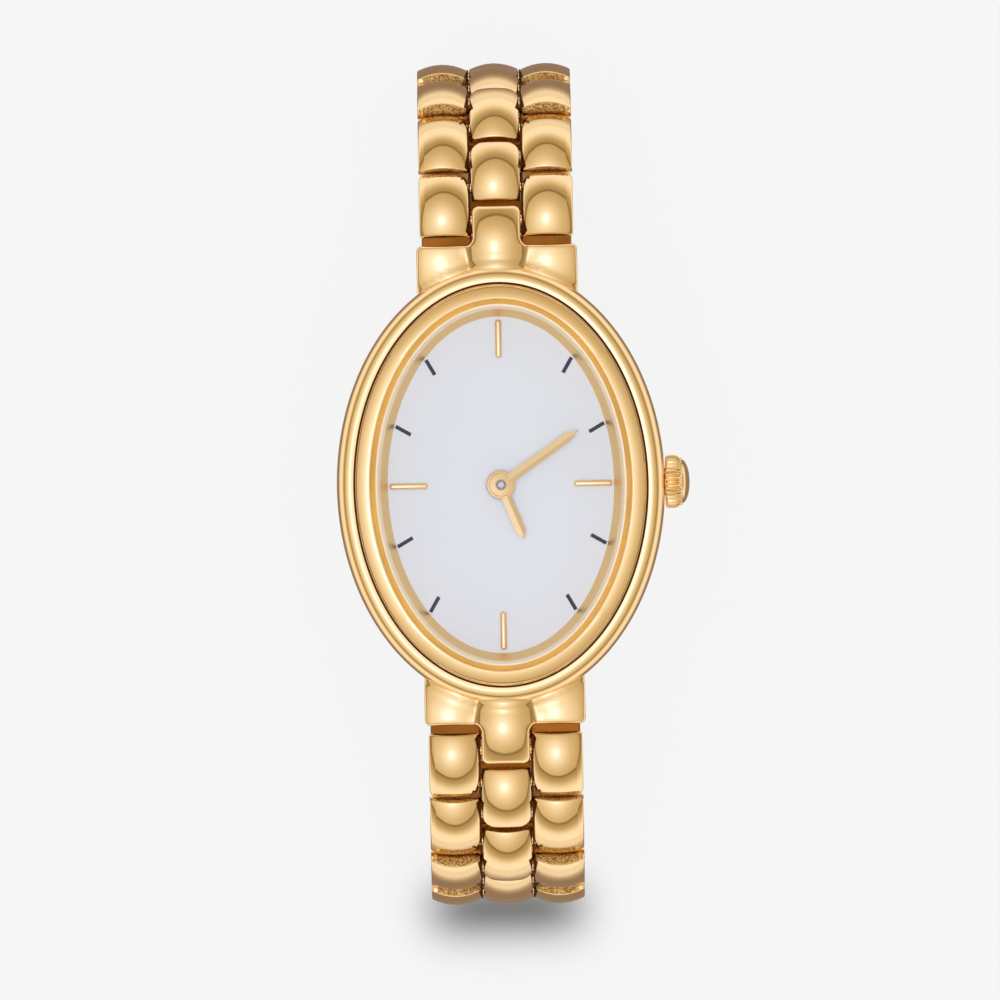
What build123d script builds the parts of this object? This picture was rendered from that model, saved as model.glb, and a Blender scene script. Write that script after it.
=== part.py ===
"""Oval dress watch on a bracelet of puffed links, closed by a folding clasp. Dial up, 12 o'clock towards +Y, crown +X."""

import math
import os

from build123d import *

os.makedirs("parts", exist_ok=True)

# Sizes that drive the whole watch, in millimetres
case_width = 24.1
case_length = 32.2
case_floor = 0.5
case_top = 4.7
bezel_top = 6.3
overrun = 2.0
sliding_fit = 0.04
loose_fit = 0.06

# Case ring
ring_width = 1.28
ring_top_round = 1.0
ring_bottom_round = 1.3
groove_width = 0.1
cavity_wall = 2.5
bezel_seat = 4.1

# Lug blocks and the tongue between them
lug_width = 11.8
lug_end = 17.6
lug_root = 11.0
lug_top_root = 4.62
lug_top_end = 4.3
lug_bottom_root = 1.3
lug_bottom_end = 2.3
lug_round = 0.4
lug_groove_width = 0.22
lug_groove_depth = 0.3
lug_groove_length = 1.9
tongue_arc_turn = 45

# Bezel, crystal and the ring below it
bezel_width = 1.22
bezel_shoulder = 5.2
bezel_crest = 0.34
bezel_lip = 0.16
round_steps = 5
crystal_gasket_width = 0.32
crystal_floor = 5.1
crystal_top = 6.02
crystal_bevel = 0.12
rehaut_overlap = 0.2
rehaut_slope_width = 0.65
gasket_drop = 0.12

# Dial and applied hour markers
dial_top = 3.75
dial_thickness = 0.4
dial_hole_radius = 0.78
dial_foot_radius = 0.35
dial_foot_length = 0.9
dial_foot_margin = 1.4
marker_length = 2.86
marker_width = 0.5
marker_height = 0.26
marker_bevel = 0.13
marker_gap_long = 0.28
marker_gap_short = 0.17

# Case back
back_thickness = 0.5
back_margin = 1.45
back_bevel = 0.2
boss_height = 0.25
back_gasket_width = 0.55
back_gasket_height = 0.4

# Crown, its tube and its stem
crown_level = 2.3
crown_radius = 1.95
crown_gap = 0.12
crown_barrel_length = 1.16
crown_dome_height = 0.54
crown_bevel = 0.18
crown_dome_radius = 1.62
crown_flute_count = 30
crown_flute_depth = 0.13
crown_bore_depth = 0.72
tube_radius = 1.0
tube_bore_radius = 0.5
tube_mouth_radius = 0.78
tube_mouth_depth = 0.4
tube_end_gap = 0.12
stem_radius = 0.42
stem_inner_end = 4.7
stem_groove_radius = 0.24
stem_groove_width = 0.5
stem_groove_place = 4.95

# Movement
movement_width = 13.4
movement_length = 15.6
movement_corner = 3.0
movement_floor = 0.95
plate_floor = 2.35
recess_floor = 2.6
recess_clearance = 0.3
centre_post_radius = 0.25
battery_radius = 3.4
battery_thickness = 1.36
battery_rim_round = 0.2
battery_side_margin = 1.1
battery_end_margin = 0.7
clamp_thickness = 0.14
clamp_width = 1.3
clamp_tail_length = 1.0
clamp_first_turn = 90
clamp_arms = 3
coil_radius = 0.62
coil_length = 7.2
coil_core_width = 1.1
coil_core_thickness = 0.3
coil_tab = 1.1
coil_margin = 1.5
bridge_side_margin = 0.5
bridge_width = 8.8
bridge_length = 4.85
bridge_coil_gap = 1.1
bridge_thickness = 1.2
bridge_corner = 0.8
board_side_margin = 1.5
board_end_margin = 0.8
board_width = 3.3
board_length = 5.6
board_thickness = 0.2
chip_size = 1.5
chip_height = 0.45
chip_margin = 0.15
quartz_radius = 0.55
quartz_length = 4.0
quartz_side_margin = 0.95
quartz_end_margin = 3.9
lever_thickness = 0.3
lever_length = 2.6
lever_width = 1.1
lever_prong_width = 0.36
lever_reach = 1.15
screw_head_radius = 0.5
screw_head_height = 0.25

# Wheels that carry the hands
wheel_distance = 2.6
cannon_teeth = 12
minute_wheel_teeth = 36
minute_pinion_teeth = 10
hour_wheel_teeth = 40
addendum_share = 0.75
dedendum_share = 1.05
tooth_foot_share = 0.5
tooth_tip_share = 0.26
tooth_line_share = 0.38
first_tooth_turn = 90
lower_wheel_floor = 2.66
lower_wheel_top = 2.88
upper_wheel_floor = 2.96
upper_wheel_top = 3.18
cannon_radius = 0.35
cannon_top = 4.74
cannon_dome = 0.14
hour_tube_radius = 0.6
hour_tube_top = 4.32
minute_post_radius = 0.22

# Hands
hour_hand_level = 4.08
hour_hand_length = 4.33
hour_hand_width = 0.72
hour_hub_radius = 1.03
hour_tip_length = 0.6
hour_taper_share = 1.06
minute_hand_level = 4.46
minute_hand_length = 6.98
minute_hand_width = 0.68
minute_hub_radius = 0.88
minute_tip_length = 1.0
minute_taper_share = 0.98
hand_edge = 0.06
hand_ridge = 0.15
hub_thickness = 0.2
minute_hand_turn = 55.6
hour_hand_turn = 157.6

# Bracelet links
first_hinge = 19.45
hinge_level = 3.2
pitch = 4.8
row_slopes = (14, 33, 67, 88, 92, 102, 112, 128, 142, 158, 172, 180, 180)
side_bead_width = 3.65
centre_bead_width = 3.4
bead_gap = 0.3
bead_depth = 1.0
bead_edge_height = 0.7
bead_crown_height = 1.05
side_near = 1.22
side_far = 3.43
centre_near = 1.45
centre_knuckle = 1.02
bead_heel = 0.3
bead_corner_inner = 0.9
bead_corner_outer = 0.45
side_arc_turn = 28
centre_arc_turn = 40
pin_radius = 0.4
row_bar_place = 2.45

# Folding clasp
wing_reach = 13.0
wing_rise = 2.6
wing_width = 8.4
wing_floor = 1.2
wing_thickness = 0.6
wing_flat = 8.6
ear_radius = 0.85
ear_inner = 2.0
wing_knuckle_radius = 0.75
clasp_pin_radius = 0.35
plate_knuckle_width = 3.2
plate_thickness = 0.8
plate_sag = 0.2
plate_gap = 0.15
plate_width = 8.8
plate_slot_length = 5.0
plate_slot_width = 2.2
plate_slot_place = 6.2
wing_window_width = 3.6
wing_window_start = 2.4

# Places worked out from those sizes
half_width = case_width / 2
half_length = case_length / 2
cavity_x = half_width - cavity_wall
cavity_y = half_length - cavity_wall
bezel_x = half_width - ring_width
bezel_y = half_length - ring_width
opening_x = bezel_x - bezel_width
opening_y = bezel_y - bezel_width
crystal_x = opening_x - crystal_gasket_width
crystal_y = opening_y - crystal_gasket_width
dial_floor = dial_top - dial_thickness
rehaut_outer_x = cavity_x - sliding_fit
rehaut_outer_y = cavity_y - sliding_fit
rehaut_top_x = crystal_x - rehaut_overlap
rehaut_top_y = crystal_y - rehaut_overlap
rehaut_foot_x = rehaut_top_x - rehaut_slope_width
rehaut_foot_y = rehaut_top_y - rehaut_slope_width
marker_centre_long = rehaut_foot_y - marker_gap_long - marker_length / 2
marker_centre_short = rehaut_foot_x - marker_gap_short - marker_length / 2
boss_x = cavity_x - back_gasket_width
boss_y = cavity_y - back_gasket_width
crown_start = half_width + crown_gap
barrel_end = crown_start + crown_barrel_length
crown_end = barrel_end + crown_dome_height
tube_end = crown_start + crown_bore_depth - tube_end_gap
lower_module = 2 * wheel_distance / (cannon_teeth + minute_wheel_teeth)
upper_module = 2 * wheel_distance / (minute_pinion_teeth + hour_wheel_teeth)
movement_x = movement_width / 2
movement_y = movement_length / 2
dial_foot_place = movement_y + dial_foot_margin
battery_x = battery_side_margin + battery_radius - movement_x
battery_y = battery_end_margin + battery_radius - movement_y
coil_y = movement_y - coil_margin
bridge_left = bridge_side_margin - movement_x
bridge_right = bridge_left + bridge_width
bridge_back = coil_y - bridge_coil_gap
bridge_front = bridge_back - bridge_length
board_right = movement_x - board_side_margin
board_left = board_right - board_width
board_front = board_end_margin - movement_y
board_back = board_front + board_length
quartz_x = movement_x - quartz_side_margin
quartz_y = quartz_end_margin - movement_y


def hinge_places():
    """Each row's near hinge and, last, the strand's end hinge, as (distance from the hand axis, height)."""
    places = [(first_hinge, hinge_level)]
    for slope in row_slopes:
        across, height = places[-1]
        turn = math.radians(slope)
        places.append((across + pitch * math.cos(turn), height - pitch * math.sin(turn)))
    return places


strand_hinges = hinge_places()
end_across, end_height = strand_hinges[-1]
wing_hinge_across = end_across + wing_reach
wing_hinge_height = end_height + wing_rise


def save(shape, name):
    shape.label = name
    export_step(shape, "parts/" + name + ".step")


def oval_ring(floor, top, outer, inner):
    with BuildPart() as ring:
        with BuildSketch(Plane.XY.offset(floor)):
            Ellipse(outer[0], outer[1])
            Ellipse(inner[0], inner[1], mode=Mode.SUBTRACT)
        extrude(amount=top - floor)
    return ring.part


def rounding(floor, top, start, end):
    """Heights and insets along a quarter round that leaves a wall and meets a flat, as (height, inset)."""
    steps = []
    for step in range(round_steps + 1):
        turn = math.radians(90 * step / round_steps)
        steps.append((floor + (top - floor) * math.sin(turn), start + (end - start) * (1 - math.cos(turn))))
    return steps


def oval_section(height, inset):
    with BuildSketch(Plane.XY.offset(height)) as section:
        Ellipse(half_width - inset, half_length - inset)
    return section.sketch


# Middle case with its lug blocks and tongues
def lug_profile():
    """The side view of one pair of lug blocks, seen along X."""
    with BuildSketch() as outline:
        with BuildLine():
            Polyline(
                (lug_root, lug_bottom_root),
                (lug_end, lug_bottom_end),
                (lug_end, lug_top_end),
                (lug_root, lug_top_root),
                close=True,
            )
        make_face()
        fillet(outline.vertices().group_by(Axis.X)[-1], lug_round)
    return outline.sketch_local


def tongue_profile():
    """The side view of the tongue, whose end is a knuckle round the first hinge."""
    knuckle_root = lug_end - centre_knuckle
    turn = math.radians(tongue_arc_turn)
    with BuildSketch() as outline:
        with BuildLine():
            Line((knuckle_root, lug_bottom_end), (first_hinge, hinge_level - centre_knuckle))
            ThreePointArc(
                (first_hinge, hinge_level - centre_knuckle),
                (
                    first_hinge + centre_knuckle * math.cos(turn),
                    hinge_level - centre_knuckle * math.sin(turn),
                ),
                (first_hinge + centre_knuckle, hinge_level),
            )
            Polyline(
                (first_hinge + centre_knuckle, hinge_level),
                (first_hinge + centre_knuckle, hinge_level + bead_edge_height),
                (first_hinge, hinge_level + centre_knuckle),
                (knuckle_root, lug_top_end),
                (knuckle_root, lug_bottom_end),
            )
        make_face()
    return outline.sketch_local


opposite = Plane((0, 0, 0), x_dir=(0, -1, 0), z_dir=(-1, 0, 0))
with BuildPart() as mid_case:
    for height, inset in reversed(rounding(case_floor + ring_bottom_round, case_floor, 0, ring_bottom_round)):
        add(oval_section(height, inset))
    for height, inset in rounding(case_top - ring_top_round, case_top, 0, ring_top_round):
        add(oval_section(height, inset))
    loft(ruled=True)
    with BuildSketch(Plane.YZ):
        add(lug_profile())
    extrude(amount=lug_width / 2, both=True)
    with BuildSketch(Plane.YZ):
        add(tongue_profile())
    extrude(amount=centre_bead_width / 2, both=True)
    with BuildSketch(opposite):
        add(lug_profile())
    extrude(amount=lug_width / 2, both=True)
    with BuildSketch(opposite):
        add(tongue_profile())
    extrude(amount=centre_bead_width / 2, both=True)
    with Locations((0, first_hinge, hinge_level), (0, -first_hinge, hinge_level)):
        Cylinder(pin_radius + sliding_fit, lug_width, rotation=(0, 90, 0), mode=Mode.SUBTRACT)
    groove_x = (centre_bead_width + lug_groove_width) / 2
    for across in (-groove_x, groove_x):
        for along in (-lug_end, lug_end):
            with Locations((across, along, lug_top_end)):
                Box(lug_groove_width, 2 * lug_groove_length, 2 * lug_groove_depth, mode=Mode.SUBTRACT)
    with BuildSketch(Plane.XY.offset(case_floor - overrun)):
        Ellipse(cavity_x, cavity_y)
    extrude(amount=bezel_seat - case_floor + overrun + overrun, mode=Mode.SUBTRACT)
    with BuildSketch(Plane.XY.offset(bezel_seat)):
        Ellipse(bezel_x + groove_width, bezel_y + groove_width)
    extrude(amount=overrun, mode=Mode.SUBTRACT)
    with Locations((half_width, 0, crown_level)):
        Cylinder(tube_radius, 2 * cavity_wall, rotation=(0, 90, 0), mode=Mode.SUBTRACT)
save(mid_case.part, "mid_case")

# Bezel
bezel_inner = ring_width + bezel_width
with BuildPart() as bezel:
    add(oval_section(bezel_seat, ring_width))
    for height, inset in rounding(bezel_shoulder, bezel_top, ring_width, bezel_inner - bezel_crest):
        add(oval_section(height, inset))
    loft(ruled=True)
    with BuildSketch(Plane.XY.offset(bezel_seat)):
        Ellipse(opening_x, opening_y)
    extrude(amount=bezel_top - bezel_seat, mode=Mode.SUBTRACT)
    add(oval_section(bezel_top - bezel_lip, bezel_inner))
    add(oval_section(bezel_top, bezel_inner - bezel_crest))
    loft(ruled=True, mode=Mode.SUBTRACT)
save(bezel.part, "bezel")

# Crystal, with its edge bevelled, and its gasket
with BuildPart() as crystal:
    with BuildSketch(Plane.XY.offset(crystal_floor)):
        Ellipse(crystal_x, crystal_y)
    extrude(amount=crystal_top - crystal_floor)
    chamfer(crystal.edges().group_by(Axis.Z)[-1], crystal_bevel)
save(crystal.part, "crystal")
crystal_gasket = oval_ring(
    crystal_floor,
    crystal_top - gasket_drop,
    (opening_x, opening_y),
    (crystal_x, crystal_y),
)
save(crystal_gasket, "crystal_gasket")

# Sloping ring between crystal and dial
with BuildPart() as rehaut_ring:
    with BuildSketch(Plane.XY.offset(dial_top)):
        Ellipse(rehaut_outer_x, rehaut_outer_y)
    extrude(amount=crystal_floor - dial_top)
    with BuildSketch(Plane.XY.offset(dial_top)):
        Ellipse(rehaut_foot_x, rehaut_foot_y)
    with BuildSketch(Plane.XY.offset(crystal_floor)):
        Ellipse(rehaut_top_x, rehaut_top_y)
    loft(mode=Mode.SUBTRACT)
save(rehaut_ring.part, "rehaut_ring")

# Dial with two feet
with BuildPart() as dial:
    with BuildSketch(Plane.XY.offset(dial_floor)):
        Ellipse(rehaut_outer_x, rehaut_outer_y)
        Circle(dial_hole_radius, mode=Mode.SUBTRACT)
    extrude(amount=dial_thickness)
    with BuildSketch(Plane.XY.offset(dial_floor)):
        with Locations((0, dial_foot_place), (0, -dial_foot_place)):
            Circle(dial_foot_radius)
    extrude(amount=-dial_foot_length)
save(dial.part, "dial")

# Four applied batons at 12, 3, 6 and 9
markers = []
for turn, reach in ((0, marker_centre_long), (90, marker_centre_short)):
    for side in (-1, 1):
        across = side * reach * math.sin(math.radians(turn))
        along = side * reach * math.cos(math.radians(turn))
        with BuildPart() as marker:
            with BuildSketch(Plane.XY.offset(dial_top)):
                with Locations((across, along)):
                    SlotOverall(marker_length, marker_width, rotation=90 - turn)
            extrude(amount=marker_height)
            chamfer(marker.edges().group_by(Axis.Z)[-1], marker_bevel)
        markers.append(marker.part)
save(Compound(children=markers), "dial_markers")

# Case back with its raised boss, and its gasket
with BuildPart() as case_back:
    with BuildSketch(Plane.XY):
        Ellipse(half_width - back_margin, half_length - back_margin)
    extrude(amount=back_thickness)
    chamfer(case_back.edges().group_by(Axis.Z)[0], back_bevel)
    with BuildSketch(Plane.XY.offset(back_thickness)):
        Ellipse(boss_x, boss_y)
    extrude(amount=boss_height)
save(case_back.part, "case_back")
case_back_gasket = oval_ring(
    back_thickness,
    back_thickness + back_gasket_height,
    (cavity_x, cavity_y),
    (boss_x, boss_y),
)
save(case_back_gasket, "case_back_gasket")

# Crown tube and the gasket in its mouth
tube_start = cavity_x + sliding_fit
with BuildPart() as crown_tube:
    with BuildSketch(Plane.YZ.offset(tube_start)):
        with Locations((0, crown_level)):
            Circle(tube_radius)
            Circle(tube_bore_radius, mode=Mode.SUBTRACT)
    extrude(amount=tube_end - tube_start)
    with BuildSketch(Plane.YZ.offset(tube_end)):
        with Locations((0, crown_level)):
            Circle(tube_mouth_radius)
    extrude(amount=-tube_mouth_depth, mode=Mode.SUBTRACT)
save(crown_tube.part, "crown_tube")
with BuildPart() as crown_gasket:
    with BuildSketch(Plane.YZ.offset(tube_end)):
        with Locations((0, crown_level)):
            Circle(tube_mouth_radius)
            Circle(stem_radius + loose_fit, mode=Mode.SUBTRACT)
    extrude(amount=-tube_mouth_depth)
save(crown_gasket.part, "crown_gasket")

# Crown with a domed end, hollow over its tube, and flutes round its barrel
crown_bore = tube_radius + loose_fit
dome_ball_radius = (crown_dome_radius**2 + crown_dome_height**2) / (2 * crown_dome_height)
with BuildPart() as crown_cap:
    with BuildSketch(Plane.YZ.offset(barrel_end - crown_bevel)):
        with Locations((0, crown_level)):
            Circle(crown_dome_radius)
    extrude(amount=crown_dome_height + crown_bevel)
    with Locations((crown_end - dome_ball_radius, 0, crown_level)):
        Sphere(dome_ball_radius, rotation=(0, 0, 180), mode=Mode.INTERSECT)
with BuildPart() as crown:
    with BuildSketch(Plane.YZ.offset(crown_start)):
        with Locations((0, crown_level)):
            Circle(crown_radius)
    extrude(amount=crown_barrel_length)
    chamfer(crown.edges().filter_by(GeomType.CIRCLE), crown_bevel)
    add(crown_cap.part)
    with BuildSketch(Plane.YZ.offset(crown_start)):
        with Locations((0, crown_level)):
            Circle(crown_bore)
    extrude(amount=crown_bore_depth, mode=Mode.SUBTRACT)
    with BuildSketch(Plane.YZ.offset(crown_start)):
        with Locations((0, crown_level)):
            Circle(stem_radius)
    extrude(amount=crown_barrel_length, mode=Mode.SUBTRACT)
    with BuildSketch(Plane.YZ.offset(crown_start)):
        with Locations((0, crown_level)):
            with PolarLocations(crown_radius, crown_flute_count):
                Rectangle(crown_flute_depth * 2, crown_flute_depth * 2, rotation=45)
    extrude(amount=crown_barrel_length, mode=Mode.SUBTRACT)
save(crown.part, "crown")

# Stem, with the groove that the setting lever holds
with BuildPart() as stem:
    with BuildSketch(Plane.YZ.offset(stem_inner_end)):
        with Locations((0, crown_level)):
            Circle(stem_radius)
    extrude(amount=barrel_end - stem_inner_end)
    with BuildSketch(Plane.YZ.offset(stem_groove_place)):
        with Locations((0, crown_level)):
            Circle(stem_radius + overrun)
            Circle(stem_groove_radius, mode=Mode.SUBTRACT)
    extrude(amount=stem_groove_width, mode=Mode.SUBTRACT)
save(stem.part, "stem")


# Wheels: a tooth outline patterned round a blank
def gear_outline(teeth, module, turn):
    """A wheel's outline with straight-flanked stub teeth, one of them centred on the given turn in degrees."""
    line_radius = module * teeth / 2
    root = line_radius - dedendum_share * module
    tip = line_radius + addendum_share * module
    step = 2 * math.pi / teeth
    points = []
    for tooth in range(teeth):
        middle = math.radians(turn) + tooth * step
        for radius, share in (
            (root, -tooth_foot_share),
            (line_radius, -tooth_line_share),
            (tip, -tooth_tip_share),
            (tip, tooth_tip_share),
            (line_radius, tooth_line_share),
            (root, tooth_foot_share),
        ):
            angle = middle + share * step / 2
            points.append((radius * math.cos(angle), radius * math.sin(angle)))
    with BuildSketch() as outline:
        with BuildLine():
            Polyline(*points, close=True)
        make_face()
    return outline.sketch_local


cannon_tip = lower_module * (cannon_teeth / 2 + addendum_share)
minute_wheel_tip = lower_module * (minute_wheel_teeth / 2 + addendum_share)
hour_wheel_tip = upper_module * (hour_wheel_teeth / 2 + addendum_share)
half_tooth_lower = 180 / minute_wheel_teeth
half_tooth_upper = 180 / hour_wheel_teeth

with BuildPart() as cannon_pinion:
    with BuildSketch(Plane.XY.offset(lower_wheel_floor)):
        add(gear_outline(cannon_teeth, lower_module, first_tooth_turn))
    extrude(amount=lower_wheel_top - lower_wheel_floor)
    with BuildSketch(Plane.XY.offset(lower_wheel_top)):
        Circle(cannon_radius)
    extrude(amount=cannon_top - lower_wheel_top)
    chamfer(cannon_pinion.edges().group_by(Axis.Z)[-1], cannon_dome)
    with BuildSketch(Plane.XY.offset(lower_wheel_floor)):
        Circle(centre_post_radius)
    extrude(amount=plate_floor - lower_wheel_floor)
save(cannon_pinion.part, "cannon_pinion")

with BuildPart() as minute_wheel:
    with BuildSketch(Plane.XY.offset(lower_wheel_floor)):
        with Locations((0, wheel_distance)):
            Circle(minute_post_radius * 2)
    extrude(amount=upper_wheel_floor - lower_wheel_floor)
    with BuildSketch(Plane((0, wheel_distance, lower_wheel_floor))):
        add(gear_outline(minute_wheel_teeth, lower_module, first_tooth_turn + half_tooth_lower))
    extrude(amount=lower_wheel_top - lower_wheel_floor)
    with BuildSketch(Plane((0, wheel_distance, upper_wheel_floor))):
        add(gear_outline(minute_pinion_teeth, upper_module, first_tooth_turn))
    extrude(amount=upper_wheel_top - upper_wheel_floor)
    with Locations((0, wheel_distance, lower_wheel_floor)):
        Cylinder(minute_post_radius + sliding_fit, overrun, mode=Mode.SUBTRACT)
save(minute_wheel.part, "minute_wheel")

with BuildPart() as hour_wheel:
    with BuildSketch(Plane.XY.offset(upper_wheel_floor)):
        add(gear_outline(hour_wheel_teeth, upper_module, first_tooth_turn + half_tooth_upper))
    extrude(amount=upper_wheel_top - upper_wheel_floor)
    with BuildSketch(Plane.XY.offset(upper_wheel_floor)):
        Circle(hour_tube_radius)
    extrude(amount=hour_tube_top - upper_wheel_floor)
    with BuildSketch(Plane.XY.offset(upper_wheel_floor)):
        Circle(cannon_radius + loose_fit)
    extrude(amount=hour_tube_top - upper_wheel_floor, mode=Mode.SUBTRACT)
save(hour_wheel.part, "hour_wheel")


# Hands: a ridged bar on a round hub, with a pointed tip
def ridge_section(width):
    with BuildSketch() as outline:
        with BuildLine():
            Polyline(
                (-width / 2, 0),
                (width / 2, 0),
                (width / 2, hand_edge),
                (0, hand_ridge),
                (-width / 2, hand_edge),
                close=True,
            )
        make_face()
    return outline.sketch_local


def hand(level, length, width, taper_share, tip, hub_radius, bore, turn):
    with BuildPart() as blade:
        with BuildSketch(Plane((0, 0, level), x_dir=(1, 0, 0), z_dir=(0, -1, 0))):
            add(ridge_section(width))
        with BuildSketch(Plane((0, length, level), x_dir=(1, 0, 0), z_dir=(0, -1, 0))):
            add(ridge_section(width * taper_share))
        loft(ruled=True)
        for side in (-1, 1):
            with BuildSketch(Plane.XY.offset(level)):
                with BuildLine():
                    Polyline(
                        (0, length),
                        (side * width, length),
                        (side * width, length - tip * 2),
                        close=True,
                    )
                make_face()
            extrude(amount=hand_ridge * 2, mode=Mode.SUBTRACT)
        with BuildSketch(Plane.XY.offset(level)):
            Circle(hub_radius)
        extrude(amount=hub_thickness)
        with BuildSketch(Plane.XY.offset(level)):
            Circle(bore)
        extrude(amount=hub_thickness, mode=Mode.SUBTRACT)
    return blade.part.rotate(Axis.Z, -turn)


hour_hand = hand(
    hour_hand_level,
    hour_hand_length,
    hour_hand_width,
    hour_taper_share,
    hour_tip_length,
    hour_hub_radius,
    hour_tube_radius,
    hour_hand_turn,
)
save(hour_hand, "hour_hand")
minute_hand = hand(
    minute_hand_level,
    minute_hand_length,
    minute_hand_width,
    minute_taper_share,
    minute_tip_length,
    minute_hub_radius,
    cannon_radius,
    minute_hand_turn,
)
save(minute_hand, "minute_hand")

# Movement holder, main plate and what is fixed to it
stem_channel = stem_radius + recess_clearance
foot_hole = dial_foot_radius + loose_fit
with BuildPart() as movement_holder:
    with BuildSketch(Plane.XY.offset(movement_floor)):
        Ellipse(cavity_x - sliding_fit, cavity_y - sliding_fit)
        RectangleRounded(
            movement_width + sliding_fit,
            movement_length + sliding_fit,
            movement_corner,
            mode=Mode.SUBTRACT,
        )
        with Locations((0, dial_foot_place), (0, -dial_foot_place)):
            Circle(foot_hole, mode=Mode.SUBTRACT)
    extrude(amount=dial_floor - movement_floor)
    with Locations((cavity_x, 0, crown_level)):
        Cylinder(stem_channel, cavity_x, rotation=(0, 90, 0), mode=Mode.SUBTRACT)
save(movement_holder.part, "movement_holder")

with BuildPart() as main_plate:
    with BuildSketch(Plane.XY.offset(plate_floor)):
        RectangleRounded(movement_width, movement_length, movement_corner)
    extrude(amount=dial_floor - plate_floor)
    with BuildSketch(Plane.XY.offset(recess_floor)):
        Circle(hour_wheel_tip + recess_clearance)
        with Locations((0, wheel_distance)):
            Circle(minute_wheel_tip + recess_clearance)
    extrude(amount=dial_floor - recess_floor, mode=Mode.SUBTRACT)
    with BuildSketch(Plane.XY.offset(recess_floor)):
        with Locations((0, wheel_distance)):
            Circle(minute_post_radius)
    extrude(amount=upper_wheel_top - recess_floor)
    with BuildSketch(Plane.XY.offset(plate_floor)):
        Circle(centre_post_radius + sliding_fit)
    extrude(amount=recess_floor - plate_floor, mode=Mode.SUBTRACT)
    channel_length = movement_width / 2 - stem_inner_end + recess_clearance
    with Locations((stem_inner_end - recess_clearance + channel_length, 0, crown_level)):
        Cylinder(stem_channel, 2 * channel_length, rotation=(0, 90, 0), mode=Mode.SUBTRACT)
save(main_plate.part, "main_plate")

# Power cell, its clamp, coil, train bridge, circuit board and quartz
with BuildPart() as battery:
    with BuildSketch(Plane.XY.offset(movement_floor)):
        with Locations((battery_x, battery_y)):
            Circle(battery_radius)
    extrude(amount=battery_thickness)
    chamfer(battery.edges().group_by(Axis.Z)[0], battery_rim_round)
save(battery.part, "battery")

clamp_floor = movement_floor - clamp_thickness
with BuildPart() as battery_clamp:
    with BuildSketch(Plane.XY.offset(clamp_floor)):
        with Locations((battery_x, battery_y)):
            Circle(battery_radius / 2)
            Circle(battery_radius / 2 - clamp_width / 2, mode=Mode.SUBTRACT)
            with PolarLocations(battery_radius / 2 + clamp_tail_length, clamp_arms, start_angle=clamp_first_turn):
                Rectangle(2 * clamp_tail_length + clamp_width / 2, clamp_width)
    extrude(amount=clamp_thickness)
save(battery_clamp.part, "battery_clamp")

coil_level = plate_floor - coil_radius
with BuildPart() as coil:
    with Locations((0, coil_y, coil_level)):
        Cylinder(coil_radius, coil_length, rotation=(0, 90, 0))
        Box(coil_length + 2 * coil_tab, coil_core_width, coil_core_thickness)
    for side in (-1, 1):
        with Locations((side * (coil_length + coil_tab) / 2, coil_y, plate_floor - coil_radius / 2)):
            Box(coil_tab, coil_core_width, coil_radius)
save(coil.part, "coil")

bridge_x = (bridge_left + bridge_right) / 2
bridge_y = (bridge_front + bridge_back) / 2
with BuildPart() as train_bridge:
    with BuildSketch(Plane.XY.offset(plate_floor)):
        with Locations((bridge_x, bridge_y)):
            RectangleRounded(bridge_right - bridge_left, bridge_back - bridge_front, bridge_corner)
        with Locations((battery_x, battery_y)):
            Circle(battery_radius + recess_clearance, mode=Mode.SUBTRACT)
    extrude(amount=-bridge_thickness)
save(train_bridge.part, "train_bridge")

board_x = (board_left + board_right) / 2
board_y = (board_front + board_back) / 2
with BuildPart() as circuit_board:
    with BuildSketch(Plane.XY.offset(plate_floor)):
        with Locations((board_x, board_y)):
            Rectangle(board_right - board_left, board_back - board_front)
        with Locations((battery_x, battery_y)):
            Circle(battery_radius + recess_clearance, mode=Mode.SUBTRACT)
    extrude(amount=-board_thickness)
    with Locations((board_right - chip_margin - chip_size / 2, board_y, plate_floor - board_thickness - chip_height / 2)):
        Box(chip_size, chip_size, chip_height)
save(circuit_board.part, "circuit_board")

with BuildPart() as quartz_can:
    with Locations((quartz_x, quartz_y, plate_floor - quartz_radius)):
        Cylinder(quartz_radius, quartz_length, rotation=(90, 0, 0))
save(quartz_can.part, "quartz_can")

# Setting lever: a fork that sits in the stem's groove
lever_top = crown_level - stem_radius - recess_clearance
prong_place = stem_groove_place + stem_groove_width / 2
with BuildPart() as setting_lever:
    with Locations((prong_place, lever_reach - lever_length / 2, lever_top - lever_thickness / 2)):
        Box(lever_width, lever_length, lever_thickness)
    for side in (-1, 1):
        prong_y = side * (stem_groove_radius + sliding_fit + lever_prong_width / 2)
        with Locations((prong_place, prong_y, (lever_top + crown_level) / 2)):
            Box(lever_prong_width, lever_prong_width, crown_level - lever_top)
save(setting_lever.part, "setting_lever")

# Screws that hold the train bridge
screw_places = (
    (bridge_left + bridge_corner, bridge_back - bridge_corner),
    (bridge_right - bridge_corner, bridge_back - bridge_corner),
    (bridge_right - bridge_corner, bridge_front + bridge_corner),
)
screws = []
for across, along in screw_places:
    with BuildPart() as screw:
        with BuildSketch(Plane.XY.offset(plate_floor - bridge_thickness)):
            with Locations((across, along)):
                Circle(screw_head_radius)
        extrude(amount=-screw_head_height)
    screws.append(screw.part)
save(Compound(children=screws), "movement_screws")


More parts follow.
